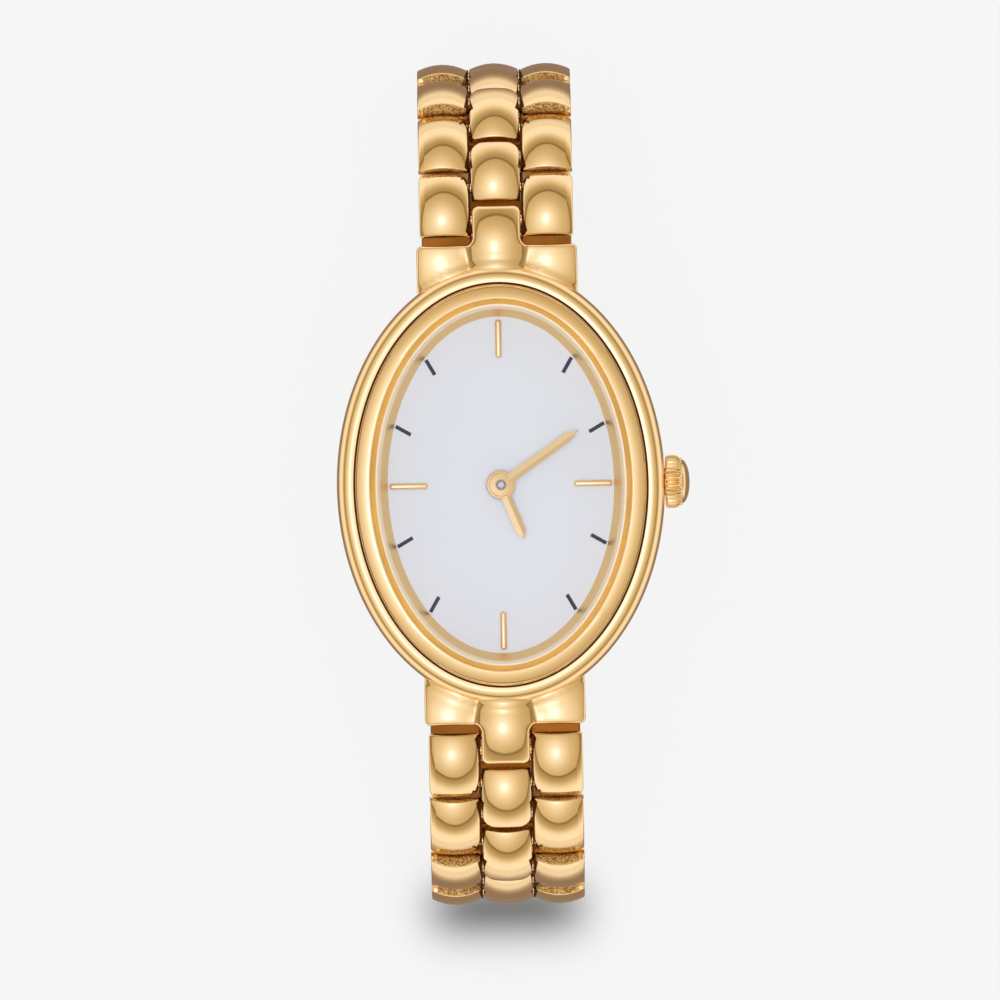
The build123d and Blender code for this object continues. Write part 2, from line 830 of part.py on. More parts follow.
# Bracelet row: two side links on a hinge pin and a row bar, and the centre link that the bar carries
def side_profile():
    """Seen along X: a wall towards the case, rounded below about the hinge."""
    heel = math.sqrt(side_near**2 - bead_depth**2)
    turn = math.radians(side_arc_turn)
    with BuildSketch() as outline:
        with BuildLine():
            Line((-side_near, bead_crown_height), (-side_near, 0))
            ThreePointArc(
                (-side_near, 0),
                (-side_near * math.cos(turn), -side_near * math.sin(turn)),
                (-heel, -bead_depth),
            )
            Polyline(
                (-heel, -bead_depth),
                (side_far - bead_heel, -bead_depth),
                (side_far, bead_heel - bead_depth),
                (side_far, bead_crown_height),
                (-side_near, bead_crown_height),
            )
        make_face()
    return outline.sketch_local


def centre_profile():
    """Seen along X: a wall towards the case and a knuckle round the next hinge."""
    end = pitch + centre_knuckle
    heel = math.sqrt(centre_knuckle**2 - bead_depth**2)
    turn = math.radians(centre_arc_turn)
    with BuildSketch() as outline:
        with BuildLine():
            Polyline(
                (end, 0),
                (end, bead_crown_height),
                (centre_near, bead_crown_height),
                (centre_near, bead_heel - bead_depth),
                (centre_near + bead_heel, -bead_depth),
                (pitch + heel, -bead_depth),
            )
            ThreePointArc(
                (pitch + heel, -bead_depth),
                (pitch + centre_knuckle * math.cos(turn), -centre_knuckle * math.sin(turn)),
                (end, 0),
            )
        make_face()
    return outline.sketch_local


def plan(near, far, width, outer_round):
    """A link seen from above, centred across, with rounded corners at its far end."""
    with BuildSketch() as outline:
        with Locations((0, (near + far) / 2)):
            Rectangle(width, far - near)
        fillet(outline.vertices().group_by(Axis.Y)[-1].sort_by(Axis.X)[0], bead_corner_inner)
        fillet(outline.vertices().sort_by(Axis.X)[-2:].sort_by(Axis.Y)[-1], outer_round)
    return outline.sketch_local


def puffed(near, far, width, far_round, profile):
    """One link: its side view drawn across, trimmed to its plan and crowned by a large ball."""
    rise = bead_crown_height - bead_edge_height
    ball = (((far - near) / 2) ** 2 + rise**2) / (2 * rise)
    with BuildPart() as link:
        with BuildSketch(Plane.YZ):
            add(profile)
        extrude(amount=width / 2, both=True)
        with BuildSketch(Plane.XY.offset(-bead_depth - overrun)):
            add(plan(near, far, width, far_round))
        extrude(amount=bead_depth + bead_crown_height + 2 * overrun, mode=Mode.INTERSECT)
        with Locations((0, (near + far) / 2, bead_crown_height - ball)):
            Sphere(ball, rotation=(0, 90, 0), mode=Mode.INTERSECT)
    return link.part


side_inner = centre_bead_width / 2 + bead_gap
side_outer = side_inner + side_bead_width
side_link = puffed(-side_near, side_far, side_bead_width, bead_corner_outer, side_profile())
centre_link = puffed(
    centre_near,
    pitch + centre_knuckle,
    centre_bead_width,
    bead_corner_inner,
    centre_profile(),
)
side_middle = (side_inner + side_outer) / 2
with BuildPart() as side_pair:
    with Locations((side_middle, 0, 0)):
        add(side_link)
    mirror(about=Plane.YZ)
    with BuildSketch(Plane.YZ.offset(-side_inner)):
        Circle(pin_radius)
        with Locations((row_bar_place, 0)):
            Circle(pin_radius)
    extrude(amount=2 * side_inner)

with BuildPart() as centre_bead:
    add(centre_link)
    with BuildSketch(Plane.YZ.offset(-centre_bead_width)):
        with Locations((pitch, 0)):
            Circle(pin_radius + sliding_fit)
        with Locations((row_bar_place, 0)):
            Circle(pin_radius)
    extrude(amount=2 * centre_bead_width, mode=Mode.SUBTRACT)


def row_plane(number, side):
    """The plane of one row: X across, local Y along the strand, outwards normal."""
    across, height = strand_hinges[number]
    turn = math.radians(row_slopes[number])
    outwards = (0, side * math.sin(turn), math.cos(turn))
    return Plane((0, side * across, height), x_dir=(side, 0, 0), z_dir=outwards)


for strand, side in (("12", 1), ("6", -1)):
    for number in range(len(row_slopes)):
        place = row_plane(number, side).location
        row = Compound(children=[side_pair.part.moved(place), centre_bead.part.moved(place)])
        save(row, "row_" + strand + "_" + format(number + 1, "02d"))

# Folding clasp: two wings under a centre plate
wing_top = wing_floor + wing_thickness
clasp_bore = clasp_pin_radius + loose_fit


def wing_profile():
    """Side view of a wing from its strand hinge, at zero, to its plate hinge."""
    knuckle_root = wing_reach - wing_knuckle_radius
    with BuildSketch() as outline:
        with BuildLine():
            Polyline(
                (-ear_radius, 0),
                (ear_radius, 0),
                (ear_radius, wing_floor),
                (wing_flat, wing_floor),
                (wing_reach, wing_rise - wing_knuckle_radius),
                (wing_reach, wing_rise),
                (knuckle_root, wing_rise),
                (knuckle_root, wing_rise - plate_thickness / 2 - plate_gap),
                (wing_flat - wing_thickness, wing_top),
                (-ear_radius + wing_thickness, wing_top),
                (-ear_radius, wing_floor),
                close=True,
            )
        make_face()
        Circle(ear_radius)
        Circle(pin_radius, mode=Mode.SUBTRACT)
        with Locations((wing_reach, wing_rise)):
            Circle(wing_knuckle_radius)
            Circle(clasp_bore, mode=Mode.SUBTRACT)
    return outline.sketch_local


def wing(side):
    base = Plane((0, side * end_across, end_height), x_dir=(0, side, 0), z_dir=(side, 0, 0))
    with BuildPart() as blade:
        with BuildSketch(base):
            add(wing_profile())
        extrude(amount=wing_width / 2, both=True)
        across = side * (end_across + wing_reach)
        with Locations((0, across, wing_hinge_height)):
            Box(
                plate_knuckle_width + 2 * loose_fit,
                2 * (wing_knuckle_radius + loose_fit),
                2 * (wing_rise - wing_top),
                mode=Mode.SUBTRACT,
            )
        with Locations((0, side * end_across, end_height + wing_floor - overrun)):
            Box(2 * ear_inner, 2 * (ear_radius + loose_fit), 2 * overrun, mode=Mode.SUBTRACT)
        window = wing_flat - wing_window_start
        with Locations((0, side * (end_across + wing_window_start + window / 2), end_height + wing_floor)):
            Box(wing_window_width, window, overrun, mode=Mode.SUBTRACT)
    with BuildPart() as pin:
        with BuildSketch(Plane.YZ.offset(-wing_width / 2)):
            with Locations((side * end_across, end_height)):
                Circle(pin_radius)
        extrude(amount=wing_width)
    return Compound(children=[blade.part, pin.part])


save(wing(1), "clasp_wing_12")
save(wing(-1), "clasp_wing_6")

plate_bottom = wing_hinge_height - plate_thickness / 2
plate_top = wing_hinge_height + plate_thickness / 2
plate_end = wing_hinge_across - wing_knuckle_radius - loose_fit * 2
with BuildPart() as clasp_plate:
    with BuildSketch(Plane.YZ):
        with BuildLine():
            ThreePointArc((-plate_end, plate_bottom), (0, plate_bottom - plate_sag), (plate_end, plate_bottom))
            Line((plate_end, plate_bottom), (plate_end, plate_top))
            ThreePointArc((plate_end, plate_top), (0, plate_top - plate_sag), (-plate_end, plate_top))
            Line((-plate_end, plate_top), (-plate_end, plate_bottom))
        make_face()
    extrude(amount=plate_width / 2, both=True)
    with BuildSketch(Plane.YZ):
        for side in (-1, 1):
            middle = side * (plate_end + wing_hinge_across) / 2
            with Locations((middle, wing_hinge_height)):
                Rectangle(wing_hinge_across - plate_end, plate_thickness)
            with Locations((side * wing_hinge_across, wing_hinge_height)):
                Circle(plate_thickness / 2 + loose_fit)
    extrude(amount=plate_knuckle_width / 2, both=True)
    with BuildSketch(Plane.XY.offset(plate_bottom - overrun)):
        with Locations((0, plate_slot_place), (0, -plate_slot_place)):
            SlotOverall(plate_slot_length, plate_slot_width, rotation=90)
    extrude(amount=2 * overrun + plate_thickness, mode=Mode.SUBTRACT)
    with BuildSketch(Plane.YZ.offset(-wing_width / 2)):
        with Locations(
            (wing_hinge_across, wing_hinge_height),
            (-wing_hinge_across, wing_hinge_height),
        ):
            Circle(clasp_pin_radius)
    extrude(amount=wing_width)
save(clasp_plate.part, "clasp_plate")
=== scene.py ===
import bpy
import bmesh
import math
from mathutils import Matrix, Vector


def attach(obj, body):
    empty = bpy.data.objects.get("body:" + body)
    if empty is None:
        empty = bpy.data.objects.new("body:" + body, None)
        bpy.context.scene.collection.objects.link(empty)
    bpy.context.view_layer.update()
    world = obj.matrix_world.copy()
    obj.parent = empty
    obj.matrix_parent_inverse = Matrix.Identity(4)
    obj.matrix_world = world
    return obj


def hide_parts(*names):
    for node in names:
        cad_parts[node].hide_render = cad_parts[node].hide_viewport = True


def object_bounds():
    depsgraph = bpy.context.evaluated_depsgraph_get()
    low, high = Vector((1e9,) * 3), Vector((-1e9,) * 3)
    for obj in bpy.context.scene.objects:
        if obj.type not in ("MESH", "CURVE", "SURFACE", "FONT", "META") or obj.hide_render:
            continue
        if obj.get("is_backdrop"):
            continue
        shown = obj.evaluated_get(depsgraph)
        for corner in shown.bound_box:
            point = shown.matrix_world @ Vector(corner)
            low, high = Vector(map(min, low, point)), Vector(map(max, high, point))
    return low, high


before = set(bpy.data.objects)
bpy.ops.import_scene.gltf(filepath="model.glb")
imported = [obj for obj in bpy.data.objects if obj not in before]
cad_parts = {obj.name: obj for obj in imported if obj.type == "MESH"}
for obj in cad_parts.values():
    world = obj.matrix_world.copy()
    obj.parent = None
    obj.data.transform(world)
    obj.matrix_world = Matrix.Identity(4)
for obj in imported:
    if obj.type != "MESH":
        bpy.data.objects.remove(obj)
cadLow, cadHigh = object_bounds()
mm = 0.001
print("frame loaded:", len(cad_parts), "nodes")

# Camera straight above the dial, a little turned, with 12 o'clock at the top
cameraSet = {"distance": 1200.0, "field": 73.4, "sensor": 36.0, "level": 4.0,
             "roll": 1.05, "lean": -0.4, "across": -0.0905, "along": -1.115, "clipNear": 0.01, "clipFar": 20}
cameraTurn = Matrix.Rotation(math.radians(-cameraSet["roll"]), 4, "Z")
cameraTurn = cameraTurn @ Matrix.Rotation(math.radians(cameraSet["lean"]), 4, "X")
target = Vector((cameraSet["across"], cameraSet["along"], cameraSet["level"])) * mm
cameraData = bpy.data.cameras.new("camera")
cameraData.sensor_width = cameraSet["sensor"]
cameraData.lens = cameraSet["sensor"] * cameraSet["distance"] / cameraSet["field"]
cameraData.clip_start, cameraData.clip_end = cameraSet["clipNear"], cameraSet["clipFar"]
camera = bpy.data.objects.new("camera", cameraData)
cameraAway = cameraTurn @ Vector((0, 0, cameraSet["distance"] * mm))
camera.matrix_world = Matrix.Translation(target + cameraAway) @ cameraTurn
bpy.context.scene.collection.objects.link(camera)
bpy.context.scene.camera = camera
bpy.context.scene.view_settings.view_transform = "Standard"


# Shader sums: a wire is a socket, or a number, that can be added, multiplied and so on
class Wire:
    def __init__(self, shade, socket):
        self.shade, self.socket = shade, socket

    def __add__(self, other):
        return self.shade.calc("ADD", self, other)

    def __sub__(self, other):
        return self.shade.calc("SUBTRACT", self, other)

    def __rsub__(self, other):
        return self.shade.calc("SUBTRACT", other, self)

    def __mul__(self, other):
        return self.shade.calc("MULTIPLY", self, other)

    def __truediv__(self, other):
        return self.shade.calc("DIVIDE", self, other)

    def __neg__(self):
        return self.shade.calc("MULTIPLY", self, -1)

    __radd__ = __add__
    __rmul__ = __mul__


class Shade:
    def __init__(self, tree):
        self.tree = tree
        tree.nodes.clear()

    def node(self, kind, settings=None, sockets=None, out=0):
        made = self.tree.nodes.new("ShaderNode" + kind)
        for key, value in (settings or {}).items():
            if key == "stops":
                ramp = made.color_ramp.elements
                while len(ramp) < len(value):
                    ramp.new(0.5)
                for stop, (place, colour) in zip(ramp, value):
                    stop.position, stop.color = place, (*colour, 1)
            else:
                setattr(made, key, value)
        for key, value in (sockets or {}).items():
            if isinstance(value, Wire):
                self.tree.links.new(value.socket, made.inputs[key])
            else:
                made.inputs[key].default_value = value
        return Wire(self, made.outputs[out])

    # Clear from behind, so that a view from below sees the watch
    def oneSided(self, shader):
        behind = self.node("NewGeometry", out="Backfacing")
        return self.node("MixShader", None, {0: behind, 1: shader, 2: self.node("BsdfTransparent")})

    def calc(self, operation, *values):
        return self.node("Math", {"operation": operation}, dict(enumerate(values)))

    def ease(self, value, low, high):
        return self.node("MapRange", {"interpolation_type": "SMOOTHSTEP"},
                         {"Value": value, "From Min": low, "From Max": high})

    def mix(self, share, first, second):
        return self.node("Mix", {"data_type": "RGBA"}, {0: share, 6: first, 7: second}, 2)

    def place(self):
        return self.node("TexCoord", out="Object")

    def noise(self, scale, detail=2.0, rough=0.5, place=None):
        return self.node("TexNoise", None, {"Vector": place or self.place(), "Scale": scale,
                                            "Detail": detail, "Roughness": rough})

    def bump(self, height, depth, strength=1.0):
        return self.node("Bump", None, {"Height": height, "Distance": depth, "Strength": strength})

    def parts(self, vector):
        split = self.node("SeparateXYZ", None, {0: vector})
        return [Wire(self, socket) for socket in split.socket.node.outputs]

    def rays(self):
        outputs = self.node("LightPath").socket.node.outputs
        return [Wire(self, outputs["Is %s Ray" % kind]) for kind in ("Camera", "Glossy", "Transmission")]

    def end(self, surface, kind="Material"):
        out = self.tree.nodes.new("ShaderNodeOutput" + kind)
        self.tree.links.new(surface.socket, out.inputs["Surface"])


def newMaterial(name):
    material = bpy.data.materials.new(name)
    material.use_nodes = True
    return material, Shade(material.node_tree)


# Patterns in waves to a metre, and depths in metres
patternSet = {"metalCloud": 160, "metalFine": 2600, "cloudShare": 0.6, "streakDepth": 0.000004,
              "plasticCloud": 300, "plasticFine": 3000, "plasticDepth": 0.000003,
              "speck": 6500, "speckDepth": 0.00006, "dialCloud": 90, "dialPearl": 5200,
              "dialDepth": 0.0000001, "glassHaze": 500}


# Metals: base colour, roughness, how much both vary, and a fine surface
def metal(name, colour, rough, varied=0.02, wear=0.03, grain=None, grainDepth=0.0, streak=None):
    material, shade = newMaterial(name)
    soft = shade.noise(patternSet["metalCloud"], 3.0)
    fine = shade.noise(patternSet["metalFine"])
    darker = tuple(c * (1 - varied) for c in colour)
    tint = shade.mix(shade.ease(soft, 0.3, 0.7), (*darker, 1), (*colour, 1))
    worn = shade.ease(soft * patternSet["cloudShare"] + fine * (1 - patternSet["cloudShare"]), 0.25, 0.75)
    sockets = {"Metallic": 1.0, "Base Color": tint, "Roughness": worn * wear + rough}
    if streak:
        lines = shade.node("Mapping", None, {"Vector": shade.place(), "Scale": streak})
        sockets["Normal"] = shade.bump(shade.noise(1.0, 2.0, 0.6, lines), patternSet["streakDepth"])
    elif grain:
        sockets["Normal"] = shade.bump(shade.noise(grain, 3.0, 0.7), grainDepth)
    shade.end(shade.node("BsdfPrincipled", None, sockets))
    return material


def plastic(name, colour, rough, grain=patternSet["plasticFine"], grainDepth=patternSet["plasticDepth"],
            shine=0.5):
    material, shade = newMaterial(name)
    soft = shade.noise(patternSet["plasticCloud"], 3.0)
    darker = tuple(c * 0.94 for c in colour)
    tint = shade.mix(shade.ease(soft, 0.3, 0.7), (*darker, 1), (*colour, 1))
    sockets = {"Base Color": tint, "Roughness": soft * 0.1 + rough, "Specular IOR Level": shine,
               "Normal": shade.bump(shade.noise(grain, 2.0), grainDepth)}
    shade.end(shade.node("BsdfPrincipled", None, sockets))
    return material


gold = metal("polishedGold", (1.0, 0.70, 0.36), 0.07)
goldInner = metal("innerGold", (0.89, 0.60, 0.23), 0.34)
# Painted highlight: a pale cream gold for the flat top lip of the inner ring
lipHighlightGold = metal("lipPaintedHighlight", (1.0, 0.88, 0.66), 0.3)
goldHand = metal("handGold", (1.0, 0.74, 0.42), 0.13, 0.02, 0.04)
# Painted shade: a deep brown gold for the web between the links and the shelves under the lugs, where shade
# falls
shadeRecessGold = metal("paintedShadeRecess", (0.30, 0.10, 0.012), 0.22, 0.4)
# Painted shade: a near-black gold for the groove round the bezel and the cheeks in the gaps beside the centre
# link
shadeGrooveGold = metal("shadeGrooveGold", (0.11, 0.035, 0.008), 0.3, 0.3)
claspGold = metal("claspGold", (0.96, 0.64, 0.30), 0.2, 0.05, 0.06, streak=(300, 9000, 9000))
steel = metal("polishedSteel", (0.72, 0.72, 0.73), 0.1)
backSteel = metal("brushedBack", (0.93, 0.66, 0.33), 0.22, 0.05, 0.05, streak=(9000, 250, 9000))
brass = metal("wheelBrass", (0.78, 0.58, 0.26), 0.25, 0.06)
nickel = metal("nickelPlate", (0.66, 0.65, 0.62), 0.25, 0.05, 0.05, streak=(400, 8000, 8000))
cellSteel = metal("cellSteel", (0.72, 0.73, 0.75), 0.16, 0.03)
copper = metal("copperWire", (0.78, 0.32, 0.14), 0.3, 0.1, 0.05, streak=(9000, 300, 300))
# The crystal's seal is a deep amber gold, a painted reflection of gold seen in gold round the crystal
amberReflection = metal("sealAmberReflection", (0.86, 0.46, 0.10), 0.32, 0.25, 0.1, 4200, 0.00002)
rubber = plastic("blackSeal", (0.02, 0.02, 0.022), 0.6)
holderGrey = plastic("holderGrey", (0.52, 0.52, 0.5), 0.5)
boardGreen = plastic("boardGreen", (0.03, 0.12, 0.06), 0.35)
ink = plastic("tickInk", (0.018, 0.009, 0.018), 0.5, 5000, 0.000001, 0.2)
postSteel = metal("postSteel", (0.42, 0.42, 0.43), 0.16)


# Blasted faces: bright and dark specks about a tenth of a millimetre across
def blasted():
    material, shade = newMaterial("blastedGold")
    speck = shade.noise(patternSet["speck"], 3.0, 0.8)
    tint = shade.mix(shade.ease(speck, 0.38, 0.62), (0.30, 0.13, 0.03, 1), (0.92, 0.62, 0.26, 1))
    sockets = {"Metallic": 1.0, "Base Color": tint, "Roughness": 0.42 - shade.ease(speck, 0.4, 0.7) * 0.18,
               "Normal": shade.bump(speck, patternSet["speckDepth"])}
    shade.end(shade.node("BsdfPrincipled", None, sockets))
    return material


def dialPaint():
    material, shade = newMaterial("dialPaint")
    cloud = shade.noise(patternSet["dialCloud"], 3.0)
    pearl = shade.noise(patternSet["dialPearl"], 2.0, 0.6)
    tint = shade.mix(shade.ease(cloud, 0.3, 0.7), (0.800, 0.818, 0.862, 1), (0.820, 0.838, 0.882, 1))
    sockets = {"Base Color": tint, "Roughness": pearl * 0.04 + 0.37, "Specular IOR Level": 0.35,
               "Normal": shade.bump(pearl, patternSet["dialDepth"])}
    shade.end(shade.node("BsdfPrincipled", None, sockets))
    return material


def clearGlass():
    material, shade = newMaterial("clearGlass")
    gloss = shade.node("Fresnel", None, {"IOR": 1.5}) * (1 - shade.node("NewGeometry", out="Backfacing"))
    haze = shade.noise(patternSet["glassHaze"])
    sockets = {"Base Color": (1, 1, 1, 1), "Metallic": 1.0, "Roughness": haze * 0.01 + 0.015,
               "Alpha": gloss * 0.8}
    shade.end(shade.node("BsdfPrincipled", None, sockets))
    return material


goldSand = blasted()
dialWhite = dialPaint()
glass = clearGlass()

# Floor, background and the light tent above the watch
tentSet = {"radius": 2000.0, "base": 0.50, "broad": 0.66, "broadWidth": 34.0, "hot": 0.55, "hotWidth": 8.0,
           "hotAcross": -0.09, "hotAlong": -0.07, "edge": 49.5, "edgeSoft": 2, "line": 0.26, "lineEnd": 54.0,
           "lineSoft": 3, "outer": 0.46, "far": 1.06, "farFrom": 80, "brightest": 1.8}
tentTones = [(0.0, (1, 0.74, 0.38)), (0.2, (1, 0.80, 0.47)), (0.36, (1, 0.89, 0.64)), (0.5, (1, 0.98, 0.92)),
             (0.62, (1, 1.03, 1.13)), (0.9, (1, 1.05, 1.5))]
# Floor settings, with where and how dark the floor's painted shadow beyond the 6 o'clock end and its painted
# shade under the bracelet lie
floorSet = {"size": 4000.0, "level": -34.05, "grey": 0.922, "kept": 0.08, "lit": 0.086, "bounce": 0.8,
            "shadowAcross": -0.15, "shadowAlong": -32.3, "shadowWide": 6.2, "shadowDeep": 2.6, "shadowDark": 0.82,
            "underShadeHalf": 5.4, "underShadeSoft": 2.6, "underShadeEnd": 31.5, "underShadeFade": 9, "underShadeDark": 0.4}
floorGrey = (floorSet["grey"],) * 3 + (1,)
black = (0, 0, 0, 1)


# Makes an object of a bmesh and links it to the scene
def addObject(name, bm, material):
    mesh = bpy.data.meshes.new(name)
    bm.to_mesh(mesh)
    bm.free()
    mesh.materials.append(material)
    made = bpy.data.objects.new(name, mesh)
    bpy.context.scene.collection.objects.link(made)
    return made


def lightTent():
    bm = bmesh.new()
    bmesh.ops.create_uvsphere(bm, u_segments=64, v_segments=32, radius=tentSet["radius"] * mm)
    bmesh.ops.reverse_faces(bm, faces=bm.faces)
    material, shade = newMaterial("tentCloth")
    across, along, up = shade.parts(shade.node("VectorMath", {"operation": "NORMALIZE"}, {0: shade.place()}))
    lean = shade.calc("ARCCOSINE", up) * (180 / math.pi)
    offAcross, offAlong = across - tentSet["hotAcross"], along - tentSet["hotAlong"]
    away = shade.calc("SQRT", offAcross * offAcross + offAlong * offAlong)
    broad = away / math.sin(math.radians(tentSet["broadWidth"]))
    hot = away / math.sin(math.radians(tentSet["hotWidth"]))
    disc = shade.calc("EXPONENT", -(broad * broad)) * tentSet["broad"]
    disc = disc + shade.calc("EXPONENT", -(hot * hot)) * tentSet["hot"] + tentSet["base"]
    insideDisc = 1 - shade.ease(lean, tentSet["edge"] - tentSet["edgeSoft"], tentSet["edge"])
    pastLine = shade.ease(lean, tentSet["lineEnd"] - tentSet["lineSoft"], tentSet["lineEnd"])
    farShare = shade.ease(lean, tentSet["lineEnd"], tentSet["farFrom"])
    outer = farShare * (tentSet["far"] - tentSet["outer"]) + tentSet["outer"]
    glow = disc * insideDisc + (1 - insideDisc) * (1 - pastLine) * tentSet["line"] + pastLine * outer
    cloth = shade.node("ValToRGB", {"stops": tentTones}, {0: glow / tentSet["brightest"]})
    shade.end(shade.node("Emission", None, {"Color": cloth, "Strength": glow}))
    tent = addObject("lightTent", bm, material)
    tent.visible_camera = False
    tent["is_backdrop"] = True


# The camera looks through most of the floor at the background, so that an open bracelet isn't cut off by it
def paleFloor():
    bm = bmesh.new()
    bmesh.ops.create_grid(bm, x_segments=1, y_segments=1, size=floorSet["size"] * mm / 2)
    bmesh.ops.translate(bm, verts=bm.verts, vec=(0, 0, floorSet["level"] * mm))
    material, shade = newMaterial("paleFloor")
    seen, glossy, refracted = shade.rays()
    x, y = shade.parts(shade.place())[:2]
    # Painted shadow: a dark soft patch painted on the floor just beyond the 6 o'clock end, fixed in place
    across, along = x / mm - floorSet["shadowAcross"], y / mm
    wide, deep = across / floorSet["shadowWide"], (along - floorSet["shadowAlong"]) / floorSet["shadowDeep"]
    paintedShadow = shade.calc("EXPONENT", -(wide * wide * wide * wide + deep * deep))
    # Painted shade: a fainter darker band painted on the floor under the length of the bracelet
    half, end = floorSet["underShadeHalf"], floorSet["underShadeEnd"]
    paintedUnderShade = 1 - shade.ease(shade.calc("ABSOLUTE", across), half - floorSet["underShadeSoft"], half)
    paintedUnderShade = paintedUnderShade * (1 - shade.ease(shade.calc("ABSOLUTE", along), end - floorSet["underShadeFade"], end))
    paintedShadeFactor = (1 - paintedShadow * floorSet["shadowDark"]) * (1 - paintedUnderShade * floorSet["underShadeDark"])
    through = 1 - floorSet["kept"]
    matte = shade.node("BsdfDiffuse", None, {"Color": (floorSet["lit"],) * 3 + (1,)})
    clear = shade.node("BsdfTransparent", None, {"Color": shade.mix(paintedShadeFactor, black, (through,) * 3 + (1,))})
    glow = shade.node("Emission", None, {"Color": shade.mix(paintedShadeFactor, black, floorGrey), "Strength": through})
    bounce = shade.node("BsdfDiffuse", None, {"Color": (floorSet["bounce"],) * 3 + (1,)})
    shown = shade.node("AddShader", None, {0: clear, 1: matte})
    mirrored = shade.node("AddShader", None, {0: glow, 1: matte})
    light = shade.node("MixShader", None, {0: shade.calc("MAXIMUM", glossy, refracted), 1: bounce, 2: mirrored})
    above = shade.node("MixShader", None, {0: seen, 1: light, 2: shown})
    shade.end(shade.oneSided(above))
    floor = addObject("floor", bm, material)
    floor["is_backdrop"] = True


# Grey cards round the watch just above the floor, which only the metal shows
cardSet = {"near": 18.0, "far": 240.0, "width": 380.0, "level": -33.6, "dark": 62.0, "pale": 175.0,
           "tone": (0.30, 0.24, 0.21, 1)}


def greyCards():
    material, shade = newMaterial("greyCard")
    x, y = shade.parts(shade.place())[:2]
    reach = shade.calc("SQRT", x * x + y * y) / mm
    tone = shade.mix(shade.ease(reach, cardSet["dark"], cardSet["pale"]), cardSet["tone"], floorGrey)
    shade.end(shade.oneSided(shade.node("Emission", None, {"Color": tone, "Strength": 1.0})))
    length = cardSet["far"] - cardSet["near"]
    away, wide, strip = cardSet["near"] + length / 2, cardSet["width"], 2 * cardSet["near"]
    sheets = (("cardTop", 0, away, wide, length), ("cardFoot", 0, -away, wide, length),
              ("cardRight", away, 0, length, strip), ("cardLeft", -away, 0, length, strip))
    for name, across, along, width, depth in sheets:
        bm = bmesh.new()
        bmesh.ops.create_grid(bm, x_segments=1, y_segments=1, size=mm / 2)
        bmesh.ops.scale(bm, vec=(width, depth, 1), verts=bm.verts)
        bmesh.ops.translate(bm, verts=bm.verts, vec=(across * mm, along * mm, cardSet["level"] * mm))
        card = addObject(name, bm, material)
        card.visible_camera = card.visible_diffuse = card.visible_shadow = False
        card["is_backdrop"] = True


# A wide soft lamp straight above, for what is painted or blasted
lampSet = {"height": 1200.0, "size": 700.0, "power": 4.9, "tone": (0.60, 0.76, 1.0)}


def softLamp():
    light = bpy.data.lights.new("softLamp", "AREA")
    light.shape, light.size = "DISK", lampSet["size"] * mm
    light.energy, light.color = lampSet["power"], lampSet["tone"]
    lamp = bpy.data.objects.new("softLamp", light)
    lamp.location = (0, 0, lampSet["height"] * mm)
    lamp.visible_glossy = lamp.visible_camera = False
    bpy.context.scene.collection.objects.link(lamp)


# The world is at full strength where it is seen, and lights the watch a little less
worldSet = {"light": 0.7, "seen": 0.3}


def background():
    world = bpy.data.worlds.new("background")
    bpy.context.scene.world = world
    world.use_nodes = True
    shade = Shade(world.node_tree)
    straight, glossy, refracted = shade.rays()
    seen = shade.calc("MAXIMUM", straight, shade.calc("MAXIMUM", glossy, refracted))
    strength = seen * worldSet["seen"] + worldSet["light"]
    shade.end(shade.node("Background", None, {"Color": floorGrey, "Strength": strength}), "World")


lightTent()
paleFloor()
greyCards()
softLamp()
background()
print("light, floor and camera set")


# Tolerances in millimetres, the widest bend in degrees that stays smooth, and the pull of the large faces
pieceSet = {"merge": 1e-4, "bend": 35, "faceWeight": 60, "near": 1e-3, "cut": 1e-5}


# Turns a bmesh drawn in millimetres into a piece in place
def addPiece(name, bm, body, materials, nodes=(), sharp=pieceSet["bend"], weighted=True):
    bmesh.ops.remove_doubles(bm, verts=bm.verts, dist=pieceSet["merge"])
    bmesh.ops.recalc_face_normals(bm, faces=bm.faces)
    bmesh.ops.scale(bm, vec=(mm, mm, mm), verts=bm.verts)
    mesh = bpy.data.meshes.new(name)
    bm.to_mesh(mesh)
    bm.free()
    placeMesh(name, mesh, body, materials, nodes, sharp, weighted)


def placeMesh(name, mesh, body, materials, nodes=(), sharp=pieceSet["bend"], weighted=True):
    mesh.polygons.foreach_set("use_smooth", [True] * len(mesh.polygons))
    mesh.set_sharp_from_angle(angle=math.radians(sharp))
    piece = bpy.data.objects.new(name, mesh)
    bpy.context.scene.collection.objects.link(piece)
    for material in materials:
        mesh.materials.append(material)
    if weighted:
        weigh = piece.modifiers.new("faceWeights", "WEIGHTED_NORMAL")
        weigh.keep_sharp = True
        weigh.weight = pieceSet["faceWeight"]
    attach(piece, body)
    if nodes:
        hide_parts(*nodes)


def everything(bm):
    return bm.verts[:] + bm.edges[:] + bm.faces[:]


def onlyEdges(geom):
    return [e for e in geom if isinstance(e, bmesh.types.BMEdge)]


def onlyVerts(geom):
    return [v for v in geom if isinstance(v, bmesh.types.BMVert)]


def paint(verts, index):
    for face in {f for v in verts for f in v.link_faces}:
        face.material_index = index


# Adds one bmesh to another and frees it
def joinTo(bm, part):
    draft = bpy.data.meshes.new("draft")
    part.to_mesh(draft)
    part.free()
    bm.from_mesh(draft)
    bpy.data.meshes.remove(draft)


# Cuts a closed solid by a plane, drops what lies beyond it and closes the cut
def shave(bm, place, normal):
    cut = bmesh.ops.bisect_plane(bm, geom=everything(bm), dist=pieceSet["cut"], plane_co=place, plane_no=normal,
                                 clear_outer=True)
    edges = onlyEdges(cut["geom_cut"])
    if edges:
        for face in bmesh.ops.edgeloop_fill(bm, edges=edges)["faces"]:
            face.material_index = 0


